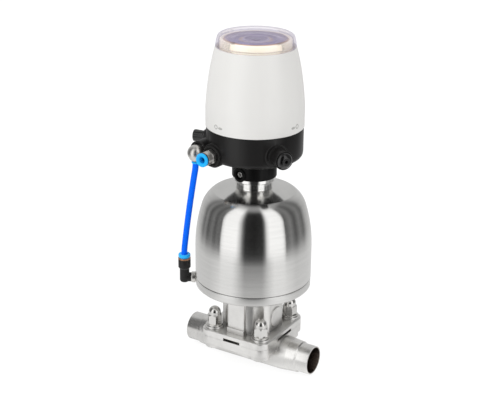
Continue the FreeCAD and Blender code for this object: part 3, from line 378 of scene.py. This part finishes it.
def lens_material():
    """Thin clear moulding: tinted see-through with a fresnel gloss, slightly rippled."""
    g = new_material("lens_clear")
    place = g.coord()
    ripple = g.noise(place, scale=120.0, detail=2.0, rough=0.4)
    fine = g.noise(place, scale=1500.0, detail=2.0)
    height = g.add(g.mul(ripple, 0.8), g.mul(fine, 0.2))
    normal = g.bump(height, strength=0.06, depth=0.06)
    fresnel = g.shader("Fresnel", {"IOR": 1.45, "Normal": normal})
    facing = g.node("LayerWeight", {"Blend": 0.35}).outputs["Facing"]
    tint = g.mix(facing, (0.995, 0.99, 1.0), (0.94, 0.92, 0.97))
    glossy = g.shader("BsdfGlossy", {"Color": (0.96, 0.95, 1.0), "Roughness": 0.05,
                                     "Normal": normal})
    clear = g.shader("BsdfTransparent", {"Color": tint})
    return g.output(g.mix_shader(g.mul(fresnel, 0.5), clear, glossy))


SATIN_STEEL = (0.80, 0.795, 0.78)
MATERIALS = {
    "body": blasted("steel_cast_body", base=(0.88, 0.87, 0.85), rough=0.33, pipe_ends=True),
    "bonnet": blasted("steel_cast_bonnet", base=(0.90, 0.89, 0.87), rough=0.34),
    "ring": brushed("steel_ring", base=SATIN_STEEL, rough=0.30, anisotropy=0.5, lines=0.8,
                    edge=0.5),
    # joint paints a shade line at the dome's lower rim
    "dome": brushed("steel_dome", base=SATIN_STEEL, rough=0.14, anisotropy=0.85, lines=0.55,
                    edge=0, joint=DOME_FOOT),
    "neck": brushed("steel_neck", base=(0.93, 0.925, 0.91), rough=0.12, anisotropy=0.5,
                    lines=0.5, edge=0),
    "nut": polished("steel_nut"),
    "bolt": polished("steel_bolt", rough=0.2),
    "inner": polished("steel_inner", base=(0.6, 0.6, 0.6), rough=0.28),
    "spring": polished("steel_spring", base=(0.42, 0.42, 0.44), rough=0.3),
    "alu": polished("alu_turned", base=(0.78, 0.79, 0.81), rough=0.26),
    "bronze": polished("bronze_satin", base=(0.46, 0.25, 0.15), rough=0.27),
    "nickel": polished("nickel_plated", base=(0.80, 0.785, 0.755), rough=0.28, wear=0.08),
    # lift paints a highlight on the convex edges of the black plastics
    "black": plastic("plastic_black", base=(0.0074, 0.0070, 0.0069), rough=0.33, grain=1.2,
                     lift=0.022, edge=0.6, spec=0.27),
    "black_deep": plastic("plastic_black_deep", base=(0.0032, 0.0031, 0.0031), rough=0.36,
                          lift=0.008, edge=0.6, spec=0.13),
    "black_gloss": plastic("plastic_black_gloss", base=(0.004, 0.004, 0.0041), rough=0.12,
                           grain=0.25, coat=0.45, edge=0.5),
    "white": plastic("plastic_white", base=(0.705, 0.70, 0.685), rough=0.34, grain=0.35,
                     coat=0.12, mottle=0.012, sss=0.06, edge=0),
    "mark": plastic("plastic_mark_grey", base=(0.40, 0.40, 0.385), rough=0.45, grain=0.6,
                    edge=0),
    # the cream light guide is unlit; its glow is painted to brighten it behind the lens
    "cream": plastic("plastic_cream", base=(0.95, 0.89, 0.73), rough=0.3, grain=0.3,
                     sss=0.15, edge=0, glow=0.30),
    "blue": plastic("plastic_tube_blue", base=(0.0, 0.135, 0.97), rough=0.34, grain=0.3,
                    edge=0, spec=0.08),
    # the pale blue sleeves get painted shade in their bores
    "pale": plastic("plastic_pale_blue", base=(0.012, 0.44, 0.96), rough=0.3, grain=0.4,
                    coat=0.05, edge=0, spec=0.25, bore_shade=(0.0, 0.015, 0.22)),
    "rubber": plastic("rubber_black", base=(0.02, 0.02, 0.02), rough=0.62, grain=1.6,
                      spec=0.3),
    "ptfe": plastic("ptfe_white", base=(0.78, 0.77, 0.72), rough=0.45, grain=0.5, sss=0.1),
    "red": plastic("plastic_red", base=(0.55, 0.03, 0.02), rough=0.35),
    "magnet": plastic("magnet_grey", base=(0.12, 0.12, 0.13), rough=0.4),
    "board": board_material(),
    "reflector": reflector_material(),
    "lens": lens_material(),
}


# ---------------------------------------------------------------- mesh helpers
def new_object(name, data):
    ob = bpy.data.objects.new(name, data)
    SCENE.collection.objects.link(ob)
    return ob


def mesh_from(bm, name):
    mesh = bpy.data.meshes.new(name)
    bm.to_mesh(mesh)
    bm.free()
    return mesh


def finish_mesh(bm, name, material, body, weighted=True):
    """Object with smooth faces and sharp edges from 30 degrees, riding on a moving body."""
    bmesh.ops.remove_doubles(bm, verts=bm.verts, dist=1e-7)
    bmesh.ops.recalc_face_normals(bm, faces=bm.faces)
    for face in bm.faces:
        face.smooth = True
    limit = math.radians(30.0)
    for edge in bm.edges:
        if len(edge.link_faces) == 2:
            edge.smooth = edge.calc_face_angle(0.0) < limit
    mesh = mesh_from(bm, name)
    ob = new_object(name, mesh)
    mesh.materials.append(MATERIALS[material])
    if weighted:
        normals = ob.modifiers.new("face_normals", "WEIGHTED_NORMAL")
        normals.keep_sharp = True
    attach(ob, body)
    return ob


def bridge(bm, ring_a, ring_b):
    """Faces between two rings of vertices; a ring of one vertex is a tip."""
    count = max(len(ring_a), len(ring_b))
    if count == 1:
        return
    for k in range(count):
        j = (k + 1) % count
        if len(ring_a) == 1:
            bm.faces.new((ring_a[0], ring_b[j], ring_b[k]))
        elif len(ring_b) == 1:
            bm.faces.new((ring_a[k], ring_a[j], ring_b[0]))
        else:
            bm.faces.new((ring_a[k], ring_a[j], ring_b[j], ring_b[k]))


def arc_about(centre, radius, start, end, steps):
    """Points of the shorter arc about a centre, from the start to the end direction."""
    first = math.atan2(start.y - centre.y, start.x - centre.x)
    turn = math.atan2(end.y - centre.y, end.x - centre.x) - first
    while turn > math.pi:
        turn -= 2 * math.pi
    while turn < -math.pi:
        turn += 2 * math.pi
    angles = [first + turn * k / steps for k in range(steps + 1)]
    return [(centre.x + radius * math.cos(a), centre.y + radius * math.sin(a)) for a in angles]


def arc_points(start, end, radius, steps):
    """Arc between two points; a positive radius bulges to the right of the travel."""
    start, end = Vector(start), Vector(end)
    chord = end - start
    left = Vector((-chord.y, chord.x)).normalized()
    offset = math.sqrt(max(radius * radius - (chord.length / 2) ** 2, 0.0))
    centre = (start + end) / 2 + (left if radius > 0 else -left) * offset
    return arc_about(centre, abs(radius), start, end, steps)


def round_corners(points, steps=4):
    """Closed outline of (r, z, corner radius) points with the corners rounded."""
    out = []
    for i, (r, z, radius) in enumerate(points):
        corner = Vector((r, z))
        if radius <= 0:
            out.append((corner.x, corner.y))
            continue
        back = Vector(points[i - 1][:2]) - corner
        ahead = Vector(points[(i + 1) % len(points)][:2]) - corner
        back_length, ahead_length = back.length, ahead.length
        back.normalize()
        ahead.normalize()
        half = back.angle(ahead) / 2
        # the rounding takes less than half of either side
        cut = min(radius / math.tan(half), back_length * 0.48, ahead_length * 0.48)
        fitted = cut * math.tan(half)
        centre = corner + (back + ahead).normalized() * (fitted / math.sin(half))
        out += arc_about(centre, fitted, corner + back * cut, corner + ahead * cut, steps)
    return out


def expand_outline(outline, corner):
    """Closed outline from rows (r, z[, radius of the arc to the next row]).

    Corners of the rows that turn more than 18 degrees are rounded.
    """
    points = []
    for i, row in enumerate(outline):
        points.append((row[0], row[1], True))
        if len(row) > 2:
            following = outline[(i + 1) % len(outline)][:2]
            chord = math.hypot(following[0] - row[0], following[1] - row[1])
            turn = 2 * math.degrees(math.asin(min(1.0, chord / 2 / abs(row[2]))))
            arc = arc_points(row[:2], following, row[2], max(6, int(turn / 2.5)))
            points += [(r, z, False) for r, z in arc[1:-1]]
    out = []
    for i, (r, z, is_row) in enumerate(points):
        before, after = points[i - 1], points[(i + 1) % len(points)]
        arriving = Vector((r - before[0], z - before[1]))
        leaving = Vector((after[0] - r, after[1] - z))
        turn = math.degrees(arriving.angle(leaving, 0.0))
        out.append((r, z, corner if is_row and turn > 18.0 and r > 1e-6 else 0.0))
    return round_corners(out)


def turned(name, node, material, body, outline, corner=0.3, at=None, segments=128):
    """Piece turned about Z from (r, z) rows, moved by the matrix at; replaces a CAD node."""
    bm = bmesh.new()
    rings = []
    for r, z in expand_outline(outline, corner):
        if abs(r) < 1e-6:
            rings.append([bm.verts.new((0, 0, z * MM))])
            continue
        angles = [2 * math.pi * k / segments for k in range(segments)]
        rings.append([bm.verts.new((r * math.cos(a) * MM, r * math.sin(a) * MM, z * MM))
                      for a in angles])
    for i, ring in enumerate(rings):
        bridge(bm, ring, rings[(i + 1) % len(rings)])
    if at is not None:
        bm.transform(at)
    ob = finish_mesh(bm, name, material, body)
    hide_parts(node)
    return ob


def sweep(name, stations, radii, material, body, segments):
    """Round section along stations (centre, direction a, direction b).

    One radius makes a solid bar, two make a tube with a wall.
    """
    bm = bmesh.new()
    angles = [2 * math.pi * k / segments for k in range(segments)]
    skins = []
    for radius in radii:
        skin = [[bm.verts.new((centre + side_a * (radius * math.cos(a))
                               + side_b * (radius * math.sin(a))) * MM) for a in angles]
                for centre, side_a, side_b in stations]
        for ring, following in zip(skin, skin[1:]):
            bridge(bm, ring, following)
        skins.append(skin)
    for end in (0, -1):
        if len(skins) == 1:
            bm.faces.new(skins[0][end])
        else:
            bridge(bm, skins[0][end], skins[1][end])
    return finish_mesh(bm, name, material, body)


def radial(degrees, z, rho=0.0, shift=0.0):
    """Frame with local Z pointing outward, Y up and X along the turn.

    rho moves it outward, shift sideways along the turn.
    """
    angle = math.radians(degrees)
    ux, uy = math.cos(angle), math.sin(angle)
    return Matrix(((-uy, 0, ux, (rho * ux - shift * uy) * MM),
                   (ux, 0, uy, (rho * uy + shift * ux) * MM),
                   (0, 1, 0, z * MM),
                   (0, 0, 0, 1)))


def upright(place):
    x, y = place
    return Matrix.Translation((x * MM, y * MM, 0.0))


# ---------------------------------------------------------------- carried-over CAD nodes
# node, material, bevel width (0 for none)
CARRIED_OVER = (
    ("valve_body", "body", 0.45), ("bonnet", "bonnet", 0.4),
    ("flange_studs", "bolt", 0), ("flange_washers", "bolt", 0.15), ("cap_nuts", "nut", 0.25),
    ("compressor", "alu", 0), ("compressor_pin", "inner", 0), ("stem", "inner", 0),
    ("lower_bush", "bronze", 0), ("upper_bush", "bronze", 0),
    ("stem_seal", "rubber", 0), ("rod_seal", "rubber", 0),
    ("base_screws", "inner", 0.15), ("housing_o_ring", "rubber", 0),
    ("piston", "alu", 0.3), ("piston_seal", "rubber", 0), ("piston_guide_ring", "ptfe", 0),
    ("piston_nut", "inner", 0.2), ("spring_plate", "inner", 0.3),
    ("head_collar", "black_deep", 0.35), ("set_screws", "nut", 0.12),
    ("head_base", "black", 0.35), ("cover_seal", "rubber", 0),
    ("board_pillars", "inner", 0), ("circuit_board", "board", 0),
    ("position_sensor", "black", 0.3), ("sensor_target", "magnet", 0),
    ("pilot_valve", "black", 0.3), ("pilot_coil", "black", 0.3),
    ("pilot_plunger", "inner", 0), ("override_lever", "red", 0.2),
    ("port_a_fitting", "nickel", 0.2), ("port_b_thread", "nickel", 0.15),
    ("port_b_elbow", "nickel", 0.2), ("silencer", "black_gloss", 0.15),
    ("gland_nut", "black_gloss", 0.2), ("elbow_thread", "nickel", 0.2),
    ("elbow_body", "black", 0.3), ("actuator_base", "ring", 0.3),
)


def carry_over(node, material, width):
    """Give a CAD node its material and, where its edges show, a real bevel."""
    ob = NODES[node]
    ob.data.materials.clear()
    ob.data.materials.append(MATERIALS[material])
    if width:
        weld = ob.modifiers.new("weld", "WELD")
        weld.merge_threshold = 2e-6
        bevel = ob.modifiers.new("bevel", "BEVEL")
        bevel.width = width * MM
        bevel.segments = 2
        bevel.limit_method = "ANGLE"
        bevel.angle_limit = math.radians(35)
        bevel.use_clamp_overlap = True
        bevel.harden_normals = False


for entry in CARRIED_OVER:
    carry_over(*entry)

# ---------------------------------------------------------------- turned pieces on the axis
# outline rows are (r, z[, radius of the arc to the next row])
turned("dome_shell", "dome_housing", "dome", "valve", corner=0.35, segments=192, outline=[
    (55.4, DOME_FOOT), (57.49, DOME_FOOT), (57.49, 110, 141), (51.1, 152, 28), (40, 167),
    (20.3, 171.1), (18.7, 171.5), (16, 171.5), (16, 169.4), (38.6, 165, -26),
    (49.1, 151.4, -139), (55.4, 110)])
turned("neck_turned", "neck_adapter", "neck", "valve", corner=0.18, outline=[
    (9, 166), (23, 166), (23, 167.6), (15.95, 169.0), (15.95, 171.5), (17.9, 171.5),
    (18.65, 172.2), (18.3, 172.9), (18.3, 178.8), (20.1, 178.8), (20.9, 179.6),
    (20.9, 182.7), (20.7, 182.9), (17, 182.9), (17, 184.6), (15.4, 185.8), (15.4, 190.2),
    (17, 191.4), (17, 196), (16, 197), (11, 197), (11, 182), (9, 182)])
turned("cover_sleeve", "cover", "white", "cover_group", corner=0.4, segments=160, outline=[
    (44.5, 233.1), (46.7, 233.1), (47.1, 233.5), (47.1, 252, 330), (43.0, 288, 250),
    (38.1, 309.4), (36.0, 309.4), (36.0, 307.0), (33.6, 307.0), (33.6, 304.6),
    (37.3, 302.8), (40.8, 288, -248), (44.5, 252)])
turned("lens_cap", "lens", "lens", "cover_group", corner=0.25, segments=160, outline=[
    (34.2, 307.1), (35.9, 307.1), (35.9, 309.6), (38.0, 309.6), (37.2, 315.2),
    (36.4, 317.9, 3.6), (CROWN_RADIUS, CROWN_FOOT, CROWN_ARC), (0, CROWN_TOP), (0, 321.0),
    (32.4, 318.7), (34.4, 316.6), (35.2, 311.5), (34.2, 310.2)])
turned("light_guide", "light_ring", "cream", "valve", outline=[
    (30.85, 299.6), (32.6, 299.6), (33.3, 303.2), (33.3, 307.2), (33.9, 307.8),
    (33.9, 315.9), (33.1, 316.8), (31.3, 316.8), (30.85, 316.3)])
turned("reflector", "indicator_disc", "reflector", "valve", outline=[
    (3.5, 257.6), (6.5, 257.6), (6.5, 311), (30.8, 311), (30.8, 315.8), (29.6, 317.1),
    (28.2, 317.1), (27.2, 316.1), (21.6, 315.7), (20.8, 316.9), (19.2, 316.9),
    (18.4, 315.6), (12.8, 315.4), (12, 316.8), (10.6, 316.8), (9.8, 315.6), (4.4, 315.4),
    (3.9, 316.2), (3.5, 316.2)])

# ---------------------------------------------------------------- ports, elbow and cable gland
AT_PORT_A = radial(-95, z=211.2, shift=-14.8)
AT_PORT_B = upright(PORT_B)
AT_ELBOW = upright(ELBOW)
AT_GLAND = radial(-33, z=216.3)

turned("sleeve_a", "port_a_sleeve", "pale", "supply_sleeve", at=AT_PORT_A, segments=64,
       outline=[(3.1, 56.6), (5.1, 56.6), (5.1, 61.4), (6.6, 61.4), (6.6, 63.0), (6.1, 63.7),
                (4.3, 63.7), (3.1, 62.5)])
turned("grip_ring_a", "port_a_ring", "bronze", "valve", corner=0.12, at=AT_PORT_A,
       segments=64, outline=[(5.2, 59.6), (6.5, 59.6), (6.5, 60.3), (5.2, 60.3)])
turned("sleeve_b", "port_b_sleeve", "pale", "outlet_sleeve", corner=0.12, at=AT_PORT_B,
       segments=64,
       outline=[(3.06, 200.9), (3.7, 200.9), (3.9, 201.1), (3.9, 202.4), (3.42, 202.4),
                (3.42, 206.2), (3.06, 206.2)])
turned("grip_ring_b", "port_b_ring", "bronze", "valve", corner=0.1, at=AT_PORT_B,
       segments=64, outline=[(3.5, 203.3), (3.9, 203.3), (3.9, 204), (3.5, 204)])
turned("sleeve_e", "elbow_sleeve", "pale", "actuator_sleeve", at=AT_ELBOW, segments=64,
       outline=[(3.06, 88), (5.1, 88), (5.1, 95.6), (6, 95.6), (6, 97.8), (5.6, 98.4),
                (3.5, 98.4), (3.06, 98)])
turned("grip_ring_e", "elbow_ring", "bronze", "valve", corner=0.12, at=AT_ELBOW,
       segments=64, outline=[(5.25, 93), (6.2, 93), (6.2, 94.2), (6, 94.5), (5.25, 94.5)])
turned("gland_shell", "gland_body", "black", "valve", corner=0.25, at=AT_GLAND, segments=96,
       outline=[(4.6, 40), (8, 40), (8, 48.1), (9.3, 48.1), (9.3, 48.9), (9.0, 49.3),
                (9.0, 61.4), (8.65, 61.9), (8.15, 61.9), (8.15, 57.4), (4.6, 57.4)])
turned("gland_rubber", "gland_seal", "rubber", "valve", at=AT_GLAND, segments=64,
       outline=[(1.6, 52), (4.55, 52), (4.55, 57.2), (3.35, 60.6), (3.35, 65.8),
                (3.05, 66.1), (1.6, 66.1)])


# ---------------------------------------------------------------- air hose
def hose_stations():
    """Stations from port B down to the elbow: straight, bend, bowed run, bend, straight."""
    start = Vector((*PORT_B, 0))
    run = Vector((ELBOW[0] - PORT_B[0], ELBOW[1] - PORT_B[1], 0))
    span = run.length
    run.normalize()
    # the lean of the middle run is found by repeated fitting between the two bends
    lean = math.atan2(span, BEND_TOP - BEND_LOW)
    for _ in range(60):
        top_turn, low_turn = lean + BOW_HALF, lean - BOW_HALF
        x_top = BEND_RADIUS * (1 - math.cos(top_turn))
        z_top = BEND_TOP - BEND_RADIUS * math.sin(top_turn)
        x_low = span - BEND_RADIUS * (1 - math.cos(low_turn))
        z_low = BEND_LOW + BEND_RADIUS * math.sin(low_turn)
        lean = math.atan2(x_low - x_top, z_top - z_low)
    bow_radius = math.hypot(x_low - x_top, z_top - z_low) / (2 * math.sin(BOW_HALF))
    upper, lower = (x_top, z_top), (x_low, z_low)
    path = [(0, HOSE_TOP), (0, (HOSE_TOP + BEND_TOP) / 2)]
    path += arc_points((0, BEND_TOP), upper, BEND_RADIUS, 10)[:-1]
    path += arc_points(upper, lower, -bow_radius, 24)[:-1]
    path += arc_points(lower, (span, BEND_LOW), -BEND_RADIUS, 10)
    path += [(span, (BEND_LOW + HOSE_LOW) / 2), (span, HOSE_LOW)]
    side = Vector((-run.y, run.x, 0))
    stations = []
    for i, (x, z) in enumerate(path):
        before, after = path[max(0, i - 1)], path[min(len(path) - 1, i + 1)]
        travel = run * (after[0] - before[0]) + Vector((0, 0, after[1] - before[1]))
        centre = start + run * x + Vector((0, 0, z))
        stations.append((centre, travel.normalized().cross(side).normalized(), side))
    return stations


hose = sweep("air_hose", hose_stations(), HOSE_RADII, "blue", "valve", segments=40)
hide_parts("air_tube")


# ---------------------------------------------------------------- springs and diaphragm
def coil(name, node, mean, wire, z0, z1, coils):
    """Spring of tilted half turns between two flat ones; mean and wire are radii."""
    count = 2 * coils
    rise = (z1 - z0) / count
    radius, lean = math.hypot(mean, rise / 2), math.atan2(rise / 2, mean)
    half_turns = [(z0, mean, 0.0)]
    half_turns += [(z0 + rise * (k + 0.5), radius, lean) for k in range(count)]
    half_turns += [(z1, mean, 0.0)]
    stations = []
    for k, (z, radius, lean) in enumerate(half_turns):
        tilt = Matrix.Rotation(-lean if k % 2 else lean, 3, "Y")
        tilt = tilt @ Matrix.Rotation(math.pi if k % 2 else 0.0, 3, "Z")
        for i in range(0 if k == 0 else 1, 33):
            angle = math.pi * i / 32
            outward = tilt @ Vector((math.cos(angle), math.sin(angle), 0))
            stations.append((outward * radius + Vector((0, 0, z)), outward,
                             tilt @ Vector((0, 0, 1))))
    ob = sweep(name, stations, (wire,), "spring", "valve", segments=16)
    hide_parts(node)
    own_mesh(ob)


coil("coil_outer", "spring_outer", mean=40, wire=3, z0=94, z1=153.5, coils=6)
coil("coil_inner", "spring_inner", mean=24.5, wire=2.3, z0=93.3, z1=154.2, coils=7)
diaphragm = turned("diaphragm_moulded", "diaphragm", "ptfe", "valve", corner=0.8, outline=[
    (0, 4.02), (6.4, 4.02), (12.4, 7.2), (17, 11.2), (19.3, 14.6), (20.4, 17.5), (31, 17.5),
    (31, 21), (19, 21), (16.6, 17.6), (14.4, 14.2), (10.6, 10.4), (5.4, 7.4), (0, 7.2)])
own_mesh(diaphragm)

# ---------------------------------------------------------------- marks low on the cover
MARK_RHO = 46.78                       # distance of the marks from the axis
LOOP_RADIUS = 1.85
LOOP_HALF_WIDTH, LOOP_HEIGHT = 0.60, 0.50
BAR_HALF = (3.0, 1.4, 0.55)            # half length, half width, height
BAR_OFFSET, BAR_DROP = 5.7, 0.4
BAR_CURVE = 0.009                      # fall of the bar with the square of its offset
# direction in degrees, height, side of the bar
MARKS = ((-109.2, 239.9, 1), (-3.2, 240.2, -1))


def cover_mark(name, degrees, z, flip):
    """Faint moulded ring with a short bar beside it."""
    bm = bmesh.new()
    section, count = 12, 32
    loops = []
    for k in range(count):
        a = 2 * math.pi * k / count
        loop = []
        for j in range(section):
            t = 2 * math.pi * j / section
            reach = LOOP_RADIUS + LOOP_HALF_WIDTH * math.cos(t)
            loop.append(bm.verts.new((reach * math.cos(a) * MM, reach * math.sin(a) * MM,
                                      LOOP_HEIGHT * math.sin(t) * MM)))
        loops.append(loop)
    for k, loop in enumerate(loops):
        following = loops[(k + 1) % count]
        for j in range(section):
            i = (j + 1) % section
            bm.faces.new((loop[j], following[j], following[i], loop[i]))
    bar = bmesh.ops.create_uvsphere(bm, u_segments=24, v_segments=12, radius=1.0)["verts"]
    for vert in bar:
        x, y, height = vert.co
        x = x * BAR_HALF[0] + BAR_OFFSET * flip
        vert.co = (x * MM, (y * BAR_HALF[1] - BAR_DROP) * MM,
                   (height * BAR_HALF[2] - x ** 2 * BAR_CURVE) * MM)
    bm.transform(radial(degrees, z, rho=MARK_RHO))
    finish_mesh(bm, name, "mark", "cover_group", weighted=False)


for number, mark in enumerate(MARKS, 1):
    cover_mark("cover_mark_%d" % number, *mark)

# the reflections of the hose and its lower elbow on the bright dome are kept out
unmirrored = [bpy.data.objects[name] for name in ("sleeve_b", "sleeve_e", "grip_ring_e")]
for ob in (hose, *unmirrored, NODES["elbow_body"]):
    ob.visible_glossy = False


# ---------------------------------------------------------------- studio world
def camera_axes(g, x, y):
    """Parts of a level direction toward the camera and to the viewer's right."""
    cosine, sine = math.cos(TO_CAMERA), math.sin(TO_CAMERA)
    toward = g.add(g.mul(x, cosine), g.mul(y, sine))
    right = g.math("SUBTRACT", g.mul(y, cosine), g.mul(x, sine))
    return toward, right


# degrees from the camera direction, + to the viewer's right; brightness in reflections
PANORAMA = (
    (-180, 0.36), (-150, 0.36), (-132, 0.28), (-120, 0.09), (-112, 0.16), (-104, 0.05),
    (-92, 0.12), (-84, 0.05), (-76, 0.10), (-69, 0.06), (-66, 0.60), (-60, 0.72),
    (-34, 0.74), (-27, 0.42), (-22, 0.10), (-17, 0.012), (0, 0.003), (18, 0.012),
    (22, 0.10), (26, 0.52), (32, 0.74), (58, 0.72), (63, 0.55), (66, 0.06), (80, 0.14),
    (92, 0.05), (105, 0.14), (118, 0.08), (132, 0.28), (150, 0.36), (180, 0.36))
# upward part of the direction, brightness in reflections
CEILING = [(0.0, 0.50), (0.80, 0.50), (0.95, 0.25), (1.0, 0.10)]


def build_world():
    """White to the camera, even light for surfaces, a panorama of panels in reflections."""
    world = bpy.data.worlds.new("studio")
    SCENE.world = world
    g = Graph(world)
    x, y, up = g.xyz(g.node("TexCoord").outputs["Generated"])
    toward, right = camera_axes(g, x, y)
    half_turns = g.math("DIVIDE", g.math("ARCTAN2", right, toward), math.pi)
    around = g.add(g.mul(half_turns, 0.5), 0.5)
    walls = g.ramp(around, [(a / 180.0 * 0.5 + 0.5, level) for a, level in PANORAMA])
    ceiling = g.mix(g.remap(toward, (0.0, -0.35)), g.ramp(up, CEILING), (0.33, 0.33, 0.33))
    mirrored = g.shader("Background", {
        "Color": g.mix(g.remap(up, (0.80, 0.97)), walls, ceiling), "Strength": 1.55})
    # brighter from the left and from above
    sideways = g.remap(right, (-1.0, 1.0), to=(1.10, 0.86))
    upward = g.remap(up, (-0.2, 1.0), to=(0.80, 1.15))
    diffuse = g.shader("Background", {"Color": (1.0, 0.995, 0.985),
                                      "Strength": g.mul(g.mul(sideways, upward), 0.98)})
    backdrop = g.shader("Background", {"Color": (1.0, 1.0, 1.0), "Strength": 1.0})
    rays = g.node("LightPath").outputs
    lighting = g.mix_shader(rays["Is Glossy Ray"], diffuse, mirrored)
    g.output(g.mix_shader(rays["Is Camera Ray"], lighting, backdrop), "OutputWorld")


build_world()

# ---------------------------------------------------------------- floor
FLOOR_HALF = 6.0
FLOOR_GAP = 0.0002               # metres below the lowest point of the valve
# share of the way out from 0.20 to 0.52 m, brightness in reflections
FRONT_SHADE = [(0.0, 0.70), (0.366, 0.42), (0.43, 0.31), (0.49, 0.24), (0.58, 0.13),
               (0.65, 0.065), (0.71, 0.035), (0.80, 0.018), (1.0, 0.014)]
# angle from the camera direction in half turns, brightness in reflections
SIDE_SHADE = [(0.0, 0.86), (0.33, 0.86), (0.48, 0.68), (1.0, 0.68)]


def floor_material():
    """Pale glowing paper; in reflections it is shaded and ends a short way out."""
    g = new_material("floor_paper")
    place = g.coord()
    x, y, _ = g.xyz(place)
    distance = g.hypot(x, y)
    tooth = g.noise(place, scale=900.0, detail=2.0)
    paper = g.shader("BsdfDiffuse", {"Color": (0.86, 0.86, 0.86), "Roughness": 1.0,
                                     "Normal": g.bump(tooth, strength=0.1, depth=0.05)})
    glow = g.shader("Emission", {"Color": (1, 1, 1), "Strength": 0.80})
    extra = g.shader("Emission", {"Color": (1, 1, 1), "Strength": 0.24})
    direct = g.shader("AddShader", {0: g.mix_shader(0.20, glow, paper), 1: extra})
    toward, right = camera_axes(g, x, y)
    turn = g.math("DIVIDE", g.math("ABSOLUTE", g.math("ARCTAN2", right, toward)), math.pi)
    front = g.ramp(g.remap(distance, (0.20, 0.52)), FRONT_SHADE)
    sides = g.ramp(turn, SIDE_SHADE)
    shade = g.mix(g.remap(turn, (0.085, 0.215)), front, sides)
    seen = g.shader("Emission", {"Color": shade, "Strength": 1.0})
    gone = g.shader("BsdfTransparent", {"Color": (1, 1, 1)})
    mirrored = g.mix_shader(g.remap(distance, (0.34, 0.62)), seen, gone)
    is_glossy = g.node("LightPath").outputs["Is Glossy Ray"]
    return g.output(g.mix_shader(is_glossy, direct, mirrored))


bm = bmesh.new()
bmesh.ops.create_grid(bm, x_segments=24, y_segments=24, size=FLOOR_HALF)
floor = new_object("studio_floor", mesh_from(bm, "studio_floor"))
floor.location = (0, 0, LO0.z - FLOOR_GAP)
floor.data.materials.append(floor_material())

# ---------------------------------------------------------------- lights
LIGHT_SIZE = 1.4
LIGHT_TARGET = Vector((0, 0, 0.16))
# name, place in metres, power: a soft key from the upper left, a weak fill from the right
LIGHTS = (("key_soft", (-1.1, -1.5, 1.9), 16.0), ("fill_soft", (1.6, -0.6, 1.0), 4.0))
for name, place, power in LIGHTS:
    light = bpy.data.lights.new(name, "AREA")
    light.shape = "RECTANGLE"
    light.size = LIGHT_SIZE
    light.size_y = LIGHT_SIZE
    light.energy = power
    ob = new_object(name, light)
    ob.location = place
    ob.rotation_mode = "QUATERNION"
    ob.rotation_quaternion = (LIGHT_TARGET - Vector(place)).to_track_quat("-Z", "Y")
    ob.visible_glossy = False


# ---------------------------------------------------------------- camera
def build_camera():
    elevation, azimuth, roll = (math.radians(a) for a in (ELEVATION, AZIMUTH, ROLL))
    back = Vector((math.sin(azimuth) * math.cos(elevation),
                   -math.cos(azimuth) * math.cos(elevation), math.sin(elevation)))
    level_right = Vector((math.cos(azimuth), math.sin(azimuth), 0))
    level_up = back.cross(level_right)
    right = level_right * math.cos(roll) + level_up * math.sin(roll)
    up = level_up * math.cos(roll) - level_right * math.sin(roll)
    camera = bpy.data.cameras.new("camera")
    camera.sensor_width = SENSOR_WIDTH
    camera.lens = FOCAL_LENGTH
    camera.clip_start, camera.clip_end = 0.05, 50.0
    ob = new_object("camera", camera)
    rows = zip(right, up, back, CAMERA_PLACE)
    ob.matrix_world = Matrix((*rows, (0, 0, 0, 1)))
    SCENE.camera = ob


build_camera()
SCENE.view_settings.view_transform = "Standard"
